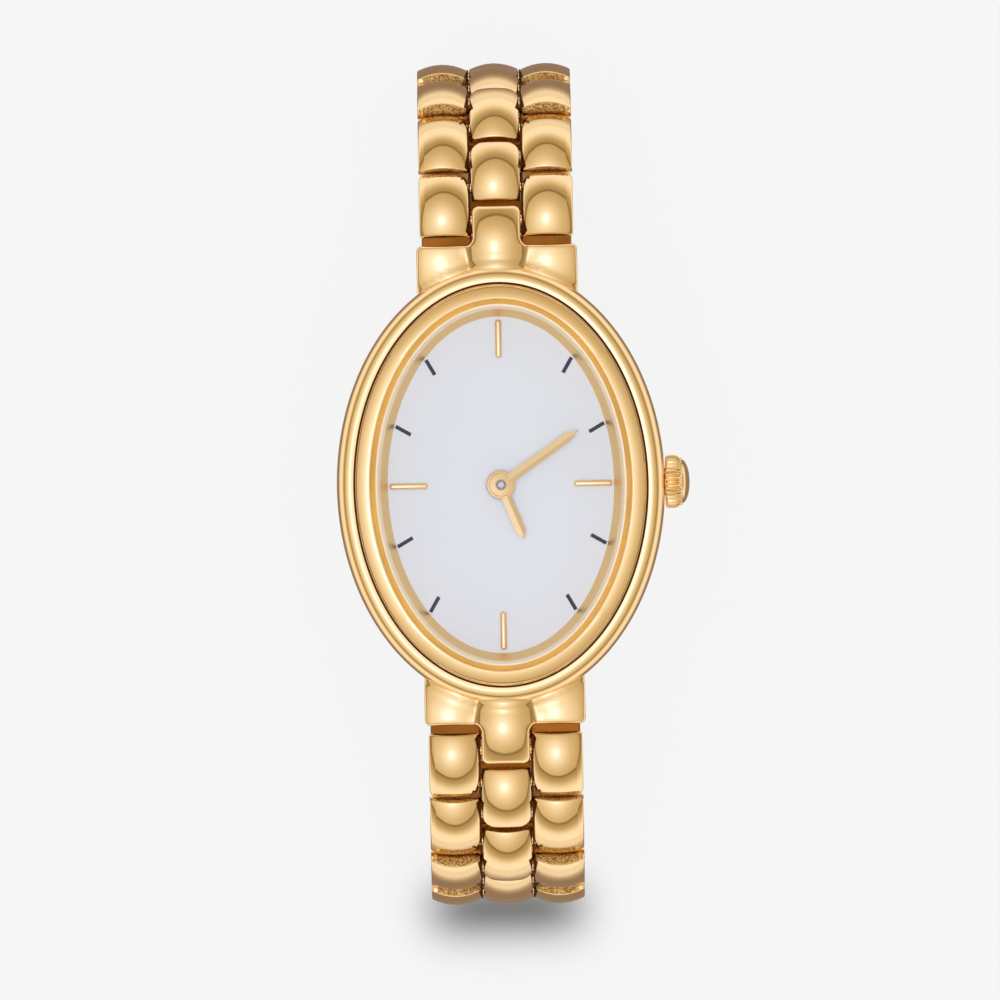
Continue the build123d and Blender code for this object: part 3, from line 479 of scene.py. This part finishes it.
# Cuts the underside of a link or plate to a round of this radius about a hinge
def roundUnder(bm, hinge, radius, angles, side):
    for angle in angles:
        turn = math.radians(angle)
        out = Vector((0, side * math.cos(turn), -math.sin(turn)))
        shave(bm, Vector(hinge) + out * radius, out)


def scoreLine(bm, place, normal):
    bmesh.ops.bisect_plane(bm, geom=everything(bm), dist=pieceSet["cut"], plane_co=place, plane_no=normal)


def roundEdges(bm, edges, offset, count):
    bmesh.ops.bevel(bm, geom=edges, offset=offset, offset_type="OFFSET", segments=count, profile=0.5,
                    affect="EDGES", material=-1, clamp_overlap=True)


def block(bm, size, place):
    verts = bmesh.ops.create_cube(bm, size=1)["verts"]
    bmesh.ops.scale(bm, vec=size, verts=verts)
    bmesh.ops.translate(bm, vec=place, verts=verts)
    return verts


# A flat outline raised into a slab, its upright edges rounded
def slab(points, low, high, rounds):
    bm = bmesh.new()
    face = bmesh.ops.contextual_create(bm, geom=[bm.verts.new((x, y, low)) for x, y in points])["faces"][0]
    raised = bmesh.ops.extrude_face_region(bm, geom=[face])["geom"]
    bmesh.ops.translate(bm, vec=(0, 0, high - low), verts=onlyVerts(raised))
    bmesh.ops.recalc_face_normals(bm, faces=bm.faces)
    near = pieceSet["near"]
    for (x, y), radius, count in rounds:
        edges = [e for e in bm.edges if all(abs(v.co.x - x) < near and abs(v.co.y - y) < near for v in e.verts)]
        roundEdges(bm, edges, radius, count)
    return bm


def softenTop(bm, high, rim, rimSteps=3):
    top = [e for e in bm.edges if all(v.co.z > high - pieceSet["near"] for v in e.verts)]
    roundEdges(bm, top, rim, rimSteps)


def grid(bm, across, along):
    for x in across:
        scoreLine(bm, (x, 0, 0), (1, 0, 0))
    for y in along:
        scoreLine(bm, (0, y, 0), (0, 1, 0))


def steps(low, high, count):
    return [low + (high - low) * k / count for k in range(1, count)]


# Puffed bracelet links, drawn round the row's near hinge with the strand along Y
linkSet = {"near": -1.22, "far": 3.43, "sideWidth": 3.65, "centreWidth": 3.62, "gap": 0.19, "pitch": 4.8,
           "centreNear": 1.45, "knuckle": 1.02, "deep": 1.0, "crown": 1.05, "innerRound": 0.9,
           "outerRound": 0.45, "nearRound": 0.16, "rim": 0.11, "ballAcross": 3.7, "ballAlong": 4.3,
           "crownFrom": 0.2, "heel": 0.3, "pin": 0.4, "bar": 2.45, "sandEdge": 0.42, "acrossCuts": 8,
           "alongCuts": 10}
fillSet = {"boss": 1.2, "bossTop": 0.5, "play": 0.06, "plate": (2.4, 1.6), "platePlace": (2.24, -0.1),
           "inside": 0.1, "web": (0.36, 0.75), "webPlace": (1.28, -0.5)}


# The top is domed both ways, the more the higher a point lies
def crownLink(bm, middle):
    for v in bm.verts:
        share = (v.co.z + linkSet["crownFrom"]) / (linkSet["crown"] + linkSet["crownFrom"])
        share = max(0.0, min(1.0, share))
        drop = v.co.x ** 2 / (2 * linkSet["ballAcross"]) + (v.co.y - middle) ** 2 / (2 * linkSet["ballAlong"])
        v.co.z -= drop * share


# The upright end faces are blasted
def sandEnds(bm, limit):
    bmesh.ops.recalc_face_normals(bm, faces=bm.faces)
    for face in bm.faces:
        middle = face.calc_center_median()
        if abs(face.normal.y) > 0.9 and middle.z < linkSet["crown"] - linkSet["rim"] and middle.x < limit:
            face.material_index = 1


def sideLink():
    half = linkSet["sideWidth"] / 2
    near, far = linkSet["near"], linkSet["far"]
    corners = [((-half, far), linkSet["innerRound"], 8), ((half, far), linkSet["outerRound"], 6),
               ((-half, near), linkSet["nearRound"], 3), ((half, near), linkSet["nearRound"], 3)]
    outline = [(-half, near), (half, near), (half, far), (-half, far)]
    bm = slab(outline, -linkSet["deep"], linkSet["crown"], corners)
    softenTop(bm, linkSet["crown"], linkSet["rim"])
    roundUnder(bm, (0, 0, 0), -near, (12, 30, 48), -1)
    shave(bm, (0, far, linkSet["heel"] - linkSet["deep"]), (0, 1, -1))
    across = steps(-half, half, linkSet["acrossCuts"]) + [half - linkSet["sandEdge"]]
    grid(bm, across, steps(near, far, linkSet["alongCuts"]))
    crownLink(bm, (near + far) / 2)
    sandEnds(bm, half - linkSet["sandEdge"])
    return bm


def centreLink():
    half = linkSet["centreWidth"] / 2
    near, far = linkSet["centreNear"], linkSet["pitch"] + linkSet["knuckle"]
    corners = [((-half, far), linkSet["innerRound"], 8), ((half, far), linkSet["innerRound"], 8),
               ((-half, near), linkSet["nearRound"], 3), ((half, near), linkSet["nearRound"], 3)]
    outline = [(-half, near), (half, near), (half, far), (-half, far)]
    bm = slab(outline, -linkSet["deep"], linkSet["crown"], corners)
    softenTop(bm, linkSet["crown"], linkSet["rim"])
    roundUnder(bm, (0, linkSet["pitch"], 0), linkSet["knuckle"], (15, 35, 55, 75), 1)
    shave(bm, (0, near, linkSet["heel"] - linkSet["deep"]), (0, -1, -1))
    grid(bm, steps(-half, half, linkSet["acrossCuts"]), steps(near, far, linkSet["alongCuts"]))
    crownLink(bm, (near + far) / 2)
    sandEnds(bm, half)
    return bm


# A round bar that lies across the strand
def bar(bm, place, radius, length):
    lying = Matrix.Translation(place) @ Matrix.Rotation(math.radians(90), 4, "Y")
    bmesh.ops.create_cone(bm, cap_ends=True, segments=32, radius1=radius, radius2=radius, depth=length,
                          matrix=lying)


# Two outer links and a centre link, with the pins, cheeks and web that fill the gaps between them
def rowMesh():
    row = sideLink()
    centre, gap = linkSet["centreWidth"], linkSet["gap"]
    bmesh.ops.translate(row, vec=(centre / 2 + gap + linkSet["sideWidth"] / 2, 0, 0), verts=row.verts)
    other = row.copy()
    bmesh.ops.scale(row, vec=(-1, 1, 1), verts=row.verts)
    bmesh.ops.reverse_faces(row, faces=row.faces)
    joinTo(row, other)
    joinTo(row, centreLink())
    inner = centre + 2 * gap + fillSet["inside"]
    bar(row, (0, 0, 0), linkSet["pin"], inner)
    bar(row, (0, linkSet["bar"], 0), linkSet["pin"], inner)
    for side in (-1, 1):
        cheek = bmesh.new()
        thick = gap - fillSet["play"]
        bar(cheek, (0, 0, 0), fillSet["boss"], thick)
        block(cheek, (thick, *fillSet["plate"]), (0, *fillSet["platePlace"]))
        shave(cheek, (0, 0, fillSet["bossTop"]), (0, 0, 1))
        away = centre / 2 + gap / 2 + fillSet["play"] / 2
        bmesh.ops.translate(cheek, vec=(side * away, 0, 0), verts=cheek.verts)
        # The cheeks take the near-black groove gold, a painted shade in the gaps
        paint(cheek.verts, 3)
        joinTo(row, cheek)
    # The web in the gap under the links takes the dark recess gold, a painted shade
    paint(block(row, (inner, *fillSet["web"]), (0, *fillSet["webPlace"])), 2)
    return row


# First hinge's reach and height, and each row's slope in degrees down from level
strandSet = {"hinge": (19.45, 3.2), "slopes": (14, 33, 67, 88, 92, 102, 112, 128, 142, 158, 172, 180, 180)}


def rowPlaces():
    place = strandSet["hinge"]
    for slope in strandSet["slopes"]:
        turn = math.radians(slope)
        yield place, turn
        place = (place[0] + linkSet["pitch"] * math.cos(turn), place[1] - linkSet["pitch"] * math.sin(turn))


def buildRows():
    draft = rowMesh()
    bmesh.ops.remove_doubles(draft, verts=draft.verts, dist=pieceSet["cut"])
    bmesh.ops.recalc_face_normals(draft, faces=draft.faces)
    pattern = bpy.data.meshes.new("rowPattern")
    draft.to_mesh(pattern)
    draft.free()
    for strand, side in (("12", 1), ("6", -1)):
        for number, ((across, height), turn) in enumerate(rowPlaces()):
            out = Vector((0, side * math.sin(turn), math.cos(turn)))
            right = Vector((side, 0, 0))
            along = out.cross(right)
            seat = Matrix((right, along, out)).transposed().to_4x4()
            seat = Matrix.Scale(mm, 4) @ Matrix.Translation((0, side * across, height)) @ seat
            mesh = pattern.copy()
            mesh.transform(seat)
            name = "%s_%02d" % (strand, number + 1)
            mesh.name = "links_" + name
            finish = [gold, goldSand, shadeRecessGold, shadeGrooveGold]
            placeMesh("links_" + name, mesh, "row_" + name, finish, ["row_" + name])
    bpy.data.meshes.remove(pattern)


buildRows()
print("bracelet rows made")

# Case ring with its lug plates, bezel and what lies inside it
caseSet = {"halfX": 12.05, "halfY": 16.1, "floor": 0.5, "top": 4.7, "ring": 1.38, "topRound": 1.0,
           "topSteps": 14, "bottomRound": 1.3, "bottomSteps": 12, "groove": 0.15, "chamfer": 0.02,
           "grooveDeep": 0.06, "wall": 2.5, "seat": 4.1, "segments": 256, "turn": 20.0}
bezelSet = {"top": 6.3, "width": 1.12, "shoulder": 0.12, "outerTilt": 20.0, "innerTilt": 0.0, "endTilt": 7.0,
            "lip": 0.1, "steps": 18, "foot": ((0.42, 0), (0.28, 0.015), (0.16, 0.05), (0.06, 0.1)),
            "lipRound": ((0.03, 0.06), (0.09, 0.02), (0.18, 0))}


# Turns a section of (height, reach) pairs once round the Z axis
def turned(bm, section, count, closed):
    verts = [bm.verts.new((reach, 0, height)) for height, reach in section]
    edges = [bm.edges.new(pair) for pair in zip(verts, verts[1:] + (verts[:1] if closed else []))]
    bmesh.ops.spin(bm, geom=verts + edges, cent=(0, 0, 0), axis=(0, 0, 1), dvec=(0, 0, 0),
                   angle=2 * math.pi, steps=count, use_merge=True)


# An oval ring: turned round, then each point is set in by the same amount from the oval
def ovalBand(bm, section):
    band = bmesh.new()
    turned(band, [(height, caseSet["turn"] - inset) for height, inset in section], caseSet["segments"], True)
    for v in band.verts:
        inset = caseSet["turn"] - math.hypot(v.co.x, v.co.y)
        turn = math.atan2(v.co.y, v.co.x)
        v.co.x = (caseSet["halfX"] - inset) * math.cos(turn)
        v.co.y = (caseSet["halfY"] - inset) * math.sin(turn)
    bmesh.ops.recalc_face_normals(band, faces=band.faces)
    joinTo(bm, band)


# A quarter round as (height, inset) pairs
def quarter(floor, top, start, end, count):
    return [(floor + (top - floor) * math.sin(math.pi / 2 * k / count),
             start + (end - start) * (1 - math.cos(math.pi / 2 * k / count))) for k in range(count + 1)]


def caseRing(bm):
    c = caseSet
    bottom = quarter(c["floor"] + c["bottomRound"], c["floor"], 0, c["bottomRound"], c["bottomSteps"])
    section = bottom[::-1] + quarter(c["top"] - c["topRound"], c["top"], 0, c["topRound"], c["topSteps"])
    inner = c["ring"] - c["groove"]
    section += [(c["top"] - c["chamfer"], inner - c["chamfer"]), (c["top"] - c["grooveDeep"], inner)]
    section += [(c["seat"], inner), (c["seat"], c["wall"]), (c["floor"], c["wall"])]
    ovalBand(bm, section)
    # The groove's inner wall takes the near-black groove gold, a painted shade
    for face in bm.faces:
        middle = face.calc_center_median()
        reach = math.hypot(middle.x / (c["halfX"] - inner), middle.y / (c["halfY"] - inner))
        if reach < 1.002 and c["seat"] - 0.01 < middle.z < c["top"] - 0.05:
            face.material_index = 1


# Plates that carry the bracelet: a domed block on each side of a tongue that reaches the first hinge
lugSet = {"half": 5.9, "low": 2.25, "top": 4.0, "bendFrom": 3.4, "root": 13.4,
          "rootInner": ((3.0, 14.75), (0, 15.2)), "end": 17.6, "tongueHalf": 1.79, "tongueStart": 0.45,
          "tongueEnd": 20.47, "crease": 2.12, "rim": 0.2, "blockTop": 4.12, "blockBall": 7.0,
          "blockAcross": 3.9, "blockAlong": 16.7, "valley": 0.12, "tongueTop": 4.6, "tongueBall": 4.1,
          "noseBall": 4.4, "noseStart": 17.8, "backBall": 7.0, "band": 0.55, "bandRise": 0.25,
          "shelf": (3.2, 1.0, 0.95), "shelfPlace": (3.75, 17.63, 2.95)}
creaseCuts = (-0.24, -0.18, -0.12, -0.06, 0, 0.06, 0.12, 0.18)


def lugHeight(x, y):
    s = lugSet
    block = s["blockTop"] - (abs(x) - s["blockAcross"]) ** 2 / (2 * s["blockBall"])
    block -= (y - s["blockAlong"]) ** 2 / (2 * s["blockBall"])
    ball = s["noseBall"] if y > s["noseStart"] else s["backBall"]
    tongue = s["tongueTop"] - x * x / (2 * s["tongueBall"]) - (y - s["noseStart"]) ** 2 / (2 * ball)
    meet = max(0.0, 1 - abs(block - tongue) / s["valley"])
    height = max(block, tongue) + meet ** 2 * s["valley"] / 4
    if abs(x) < s["tongueHalf"] + 0.05 and y > s["end"]:
        height = tongue
    away = (math.hypot(x / caseSet["halfX"], y / caseSet["halfY"]) - 1) * caseSet["halfY"]
    return height + s["bandRise"] * max(0.0, 1 - max(0.0, away) / s["band"]) ** 1.5


def lugPlate():
    s, top = lugSet, lugSet["top"]
    outer, crease = (s["half"], s["end"]), (s["crease"], s["end"])
    start, tip = (s["tongueHalf"], s["end"] + s["tongueStart"]), (s["tongueHalf"], s["tongueEnd"])
    right = [s["rootInner"][0], (s["half"], s["root"]), outer, crease, start, tip]
    left = [(-x, y) for x, y in reversed(right)]
    outline = left[4:] + [s["rootInner"][1]] + right + left[:4]
    corners = ((outer, 0.4, 6), (tip, 0.5, 6), (crease, 0.2, 4), (start, 0.2, 4))
    rounds = [((side * x, y), radius, count) for (x, y), radius, count in corners for side in (-1, 1)]
    bm = slab(outline, s["low"], top, rounds)
    softenTop(bm, top, s["rim"], 4)
    roundUnder(bm, (0, *strandSet["hinge"]), linkSet["knuckle"], (20, 45, 70), 1)
    across = steps(-s["half"], s["half"], 20)
    across += [side * (s["crease"] + cut) for side in (-1, 1) for cut in creaseCuts]
    grid(bm, across, steps(s["root"], s["tongueEnd"], 26))
    for v in bm.verts:
        share = max(0.0, (v.co.z - s["bendFrom"]) / (top - s["bendFrom"]))
        v.co.z += (lugHeight(v.co.x, v.co.y) - top) * min(1.0, share)
    return bm


def caseBody():
    bm = bmesh.new()
    caseRing(bm)
    plate = lugPlate()
    bmesh.ops.recalc_face_normals(plate, faces=plate.faces)
    other = plate.copy()
    bmesh.ops.rotate(plate, cent=(0, 0, 0), matrix=Matrix.Rotation(math.pi, 3, "Z"), verts=plate.verts)
    joinTo(plate, other)
    joinTo(bm, plate)
    across, along, height = lugSet["shelfPlace"]
    # Shelves under the lug tongues take the dark recess gold, a painted shade
    for side in (-1, 1):
        for x in (-across, across):
            paint(block(bm, lugSet["shelf"], (x, side * along, height)), 2)
    addPiece("caseBody", bm, "case", [gold, shadeGrooveGold, shadeRecessGold], ["mid_case"], sharp=40)


def bezelRing():
    b, c = bezelSet, caseSet
    inner = c["ring"] + b["width"]
    bm = bmesh.new()
    tops, high, reach = [(0.0, 0.0)], 0.0, 0.0
    span = b["width"] - b["shoulder"] - b["lip"]
    for k in range(b["steps"]):
        tilt = math.radians(b["outerTilt"] + (b["innerTilt"] - b["outerTilt"]) * (k + 0.5) / b["steps"])
        high, reach = high + math.tan(tilt) * span / b["steps"], reach + span / b["steps"]
        tops.append((high, reach))
    rise = b["top"] - max(height for height, inset in tops)
    tops = [(height + rise, inset + c["ring"] + b["shoulder"]) for height, inset in tops]
    outerEdge, innerEdge = tops[0][0], tops[-1][0]
    section = [(c["seat"], c["ring"])] + [(outerEdge - drop, c["ring"] + inset) for drop, inset in b["foot"]]
    section += tops + [(innerEdge - drop, inner - inset) for drop, inset in b["lipRound"]]
    section += [(c["seat"], inner)]
    ovalBand(bm, section)
    for v in bm.verts:
        turn = math.atan2(v.co.y / c["halfY"], v.co.x / c["halfX"])
        if abs(math.sin(turn)) > 0.7:
            inset = c["halfY"] - v.co.y / math.sin(turn)
        else:
            inset = c["halfX"] - v.co.x / math.cos(turn)
        if v.co.z > c["seat"] + 0.01:
            v.co.z -= math.tan(math.radians(b["endTilt"])) * max(0.0, inner - inset) * math.sin(turn) ** 2
    addPiece("bezelRing", bm, "case", [gold], ["bezel"], sharp=50)


# Height and inset of each corner, and the height above which the lip is painted paler, a painted highlight
slopeSet = {"section": ((3.75, 3.75), (4.82, 3.2), (4.93, 3.12), (5.08, 2.94), (5.08, 2.56), (3.75, 2.56)),
            "highlightFrom": 4.84}


def slopedRing():
    bm = bmesh.new()
    ovalBand(bm, slopeSet["section"])
    for face in bm.faces:
        if face.calc_center_median().z > slopeSet["highlightFrom"]:
            face.material_index = 1
    addPiece("slopedRing", bm, "case", [goldInner, lipHighlightGold], ["rehaut_ring"], sharp=30)


caseBody()
bezelRing()
slopedRing()
print("case, bezel and inner ring made")

# Fluted crown, turned round the X axis: place, radius and depth of the flutes
crownSet = {"level": 2.3, "flutes": 36, "fine": 8, "section": (
    (12.75, 1.06, 0), (12.08, 1.06, 0), (12.08, 1.74, 0), (12.11, 1.8, 0.01), (12.22, 1.92, 0.12),
    (12.28, 1.95, 0.15), (12.85, 1.95, 0.15), (13.02, 1.87, 0.15), (13.16, 1.79, 0.12),
    (13.26, 1.73, 0.06), (13.3, 1.69, 0), (13.32, 1.62, 0), (13.42, 1.58, 0), (13.54, 1.46, 0),
    (13.66, 1.24, 0), (13.76, 0.96, 0), (13.83, 0.62, 0), (13.862, 0.3, 0), (13.868, 0.1, 0))}


def crownPiece():
    bm = bmesh.new()
    section = [(x, radius) for x, radius, flute in crownSet["section"]]
    turned(bm, section, crownSet["flutes"] * crownSet["fine"], False)
    depths = {round(x, 3): flute for x, radius, flute in crownSet["section"]}
    for v in bm.verts:
        turn, reach = math.atan2(v.co.y, v.co.x), math.hypot(v.co.x, v.co.y)
        share = 0.5 - 0.5 * math.cos(turn * crownSet["flutes"])
        reach -= depths[round(v.co.z, 3)] * share ** 0.6
        v.co = Vector((v.co.z, reach * math.cos(turn), reach * math.sin(turn) + crownSet["level"]))
    ends = [e for e in bm.edges if e.is_boundary]
    bmesh.ops.holes_fill(bm, edges=ends, sides=0)
    addPiece("flutedCrown", bm, "winder", [gold], ["crown"], sharp=40)


crownPiece()

# Dark ticks between the bars
tickSet = {"length": 1.28, "width": 0.27, "high": 0.03, "far": 10.05, "near": 8.2, "level": 3.762}


def hourTicks():
    bm = bmesh.new()
    for hour in (1, 2, 4, 5, 7, 8, 10, 11):
        turn = math.radians(30 * hour)
        reach = tickSet["far"] if hour in (1, 5, 7, 11) else tickSet["near"]
        tick = block(bm, (tickSet["width"], tickSet["length"], tickSet["high"]), (0, 0, 0))
        bmesh.ops.rotate(bm, cent=(0, 0, 0), matrix=Matrix.Rotation(-turn, 3, "Z"), verts=tick)
        place = (reach * math.sin(turn), reach * math.cos(turn), tickSet["level"])
        bmesh.ops.translate(bm, vec=place, verts=tick)
    addPiece("hourTicks", bm, "case", [ink], weighted=False)


hourTicks()

# Applied bars at 12, 3, 6 and 9, with rounded tops
barSet = {"length": 2.86, "width": 0.5, "high": 0.26, "round": 0.21, "long": 10.71, "short": 6.77,
          "level": 3.75}


def hourBars():
    bm = bmesh.new()
    for quarterTurn in range(4):
        reach = barSet["short"] if quarterTurn % 2 else barSet["long"]
        single = bmesh.new()
        block(single, (barSet["width"], barSet["length"], 2 * barSet["high"]), (0, 0, 0))
        roundEdges(single, single.edges[:], barSet["round"], 5)
        shave(single, (0, 0, 0), (0, 0, -1))
        bmesh.ops.translate(single, vec=(0, reach, barSet["level"]), verts=single.verts)
        turn = Matrix.Rotation(-math.pi / 2 * quarterTurn, 3, "Z")
        bmesh.ops.rotate(single, cent=(0, 0, 0), matrix=turn, verts=single.verts)
        joinTo(bm, single)
    addPiece("hourBars", bm, "case", [goldHand], ["dial_markers"], sharp=60)


hourBars()

# Hands: a bar whose ridge lies off its middle, on a flat hub with a bright edge
handSet = {"minute": {"level": 4.46, "length": 6.98, "width": 0.68, "hub": 0.86, "bore": 0.355, "taper": 0.98,
                      "tip": 1.0, "turn": 55.6},
           "hour": {"level": 4.08, "length": 4.33, "width": 0.72, "hub": 1.06, "bore": 0.605, "taper": 1.06,
                    "tip": 0.6, "turn": 157.6},
           "edge": 0.05, "ridge": 0.155, "ridgePlace": 0.06, "inHub": 0.02, "tipFall": 0.34, "hubHigh": 0.2,
           "hubEdge": 0.05, "hubFall": 0.1, "boreDrop": 0.04, "boreWide": 0.05, "hubSegments": 96}


def handPiece(name, sizes, node, body):
    h, bore, hub = handSet, sizes["bore"], sizes["hub"]
    blade = bmesh.new()
    half = sizes["width"] / 2
    side = 1 if sizes["turn"] < 90 else -1
    ridge = (side * h["ridgePlace"], h["ridge"])
    outline = [(-half, 0), (half, 0), (half, h["edge"]), ridge, (-half, h["edge"])]
    start = bore + h["inHub"]
    corners = [blade.verts.new((x, start, z)) for x, z in outline]
    face = bmesh.ops.contextual_create(blade, geom=corners)["faces"][0]
    ends = onlyVerts(bmesh.ops.extrude_face_region(blade, geom=[face])["geom"])
    bmesh.ops.translate(blade, vec=(0, sizes["length"] - start, 0), verts=ends)
    bmesh.ops.scale(blade, vec=(sizes["taper"], 1, 1), verts=ends)
    for cut in (-1, 1):
        shave(blade, (0, sizes["length"], 0), (cut * sizes["tip"] * 2, sizes["width"], 0))
    shave(blade, (0, sizes["length"], h["edge"]), (0, h["tipFall"], 1))
    bmesh.ops.recalc_face_normals(blade, faces=blade.faces)
    bm = bmesh.new()
    top, edge, fall = h["hubHigh"], h["hubEdge"], h["hubFall"]
    section = [(0, bore), (top - h["boreDrop"], bore), (top, bore + h["boreWide"]), (top - fall, hub - edge),
               (top - fall - edge, hub), (0, hub)]
    turned(bm, section, h["hubSegments"], True)
    bmesh.ops.recalc_face_normals(bm, faces=bm.faces)
    joinTo(bm, blade)
    turn = Matrix.Rotation(-math.radians(sizes["turn"]), 3, "Z")
    bmesh.ops.rotate(bm, cent=(0, 0, 0), matrix=turn, verts=bm.verts)
    bmesh.ops.translate(bm, vec=(0, 0, sizes["level"]), verts=bm.verts)
    addPiece(name, bm, body, [goldHand], [node], sharp=20)


handPiece("minuteHand", handSet["minute"], "minute_hand", "minutes")
handPiece("hourHand", handSet["hour"], "hour_hand", "hours")
print("crown, bars, ticks and hands made")

# Finishes of the pieces kept from the frame
finishes = {
    "crystal": glass, "crystal_gasket": amberReflection, "dial": dialWhite, "case_back": backSteel,
    "case_back_gasket": rubber, "crown_tube": gold, "crown_gasket": rubber, "stem": steel,
    "cannon_pinion": postSteel, "minute_wheel": brass, "hour_wheel": brass, "movement_holder": holderGrey,
    "main_plate": nickel, "battery": cellSteel, "battery_clamp": steel, "coil": copper,
    "train_bridge": nickel, "circuit_board": boardGreen, "quartz_can": cellSteel,
    "setting_lever": steel, "movement_screws": steel,
    "clasp_wing_12": claspGold, "clasp_wing_6": claspGold, "clasp_plate": claspGold,
}
for node, finish in finishes.items():
    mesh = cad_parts[node].data
    mesh.materials.clear()
    mesh.materials.append(finish)

newLow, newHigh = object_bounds()
for label, low, high in (("size", newLow, newHigh), ("cad", cadLow, cadHigh)):
    print(label, [round((h - l) * 1000, 3) for l, h in zip(low, high)])
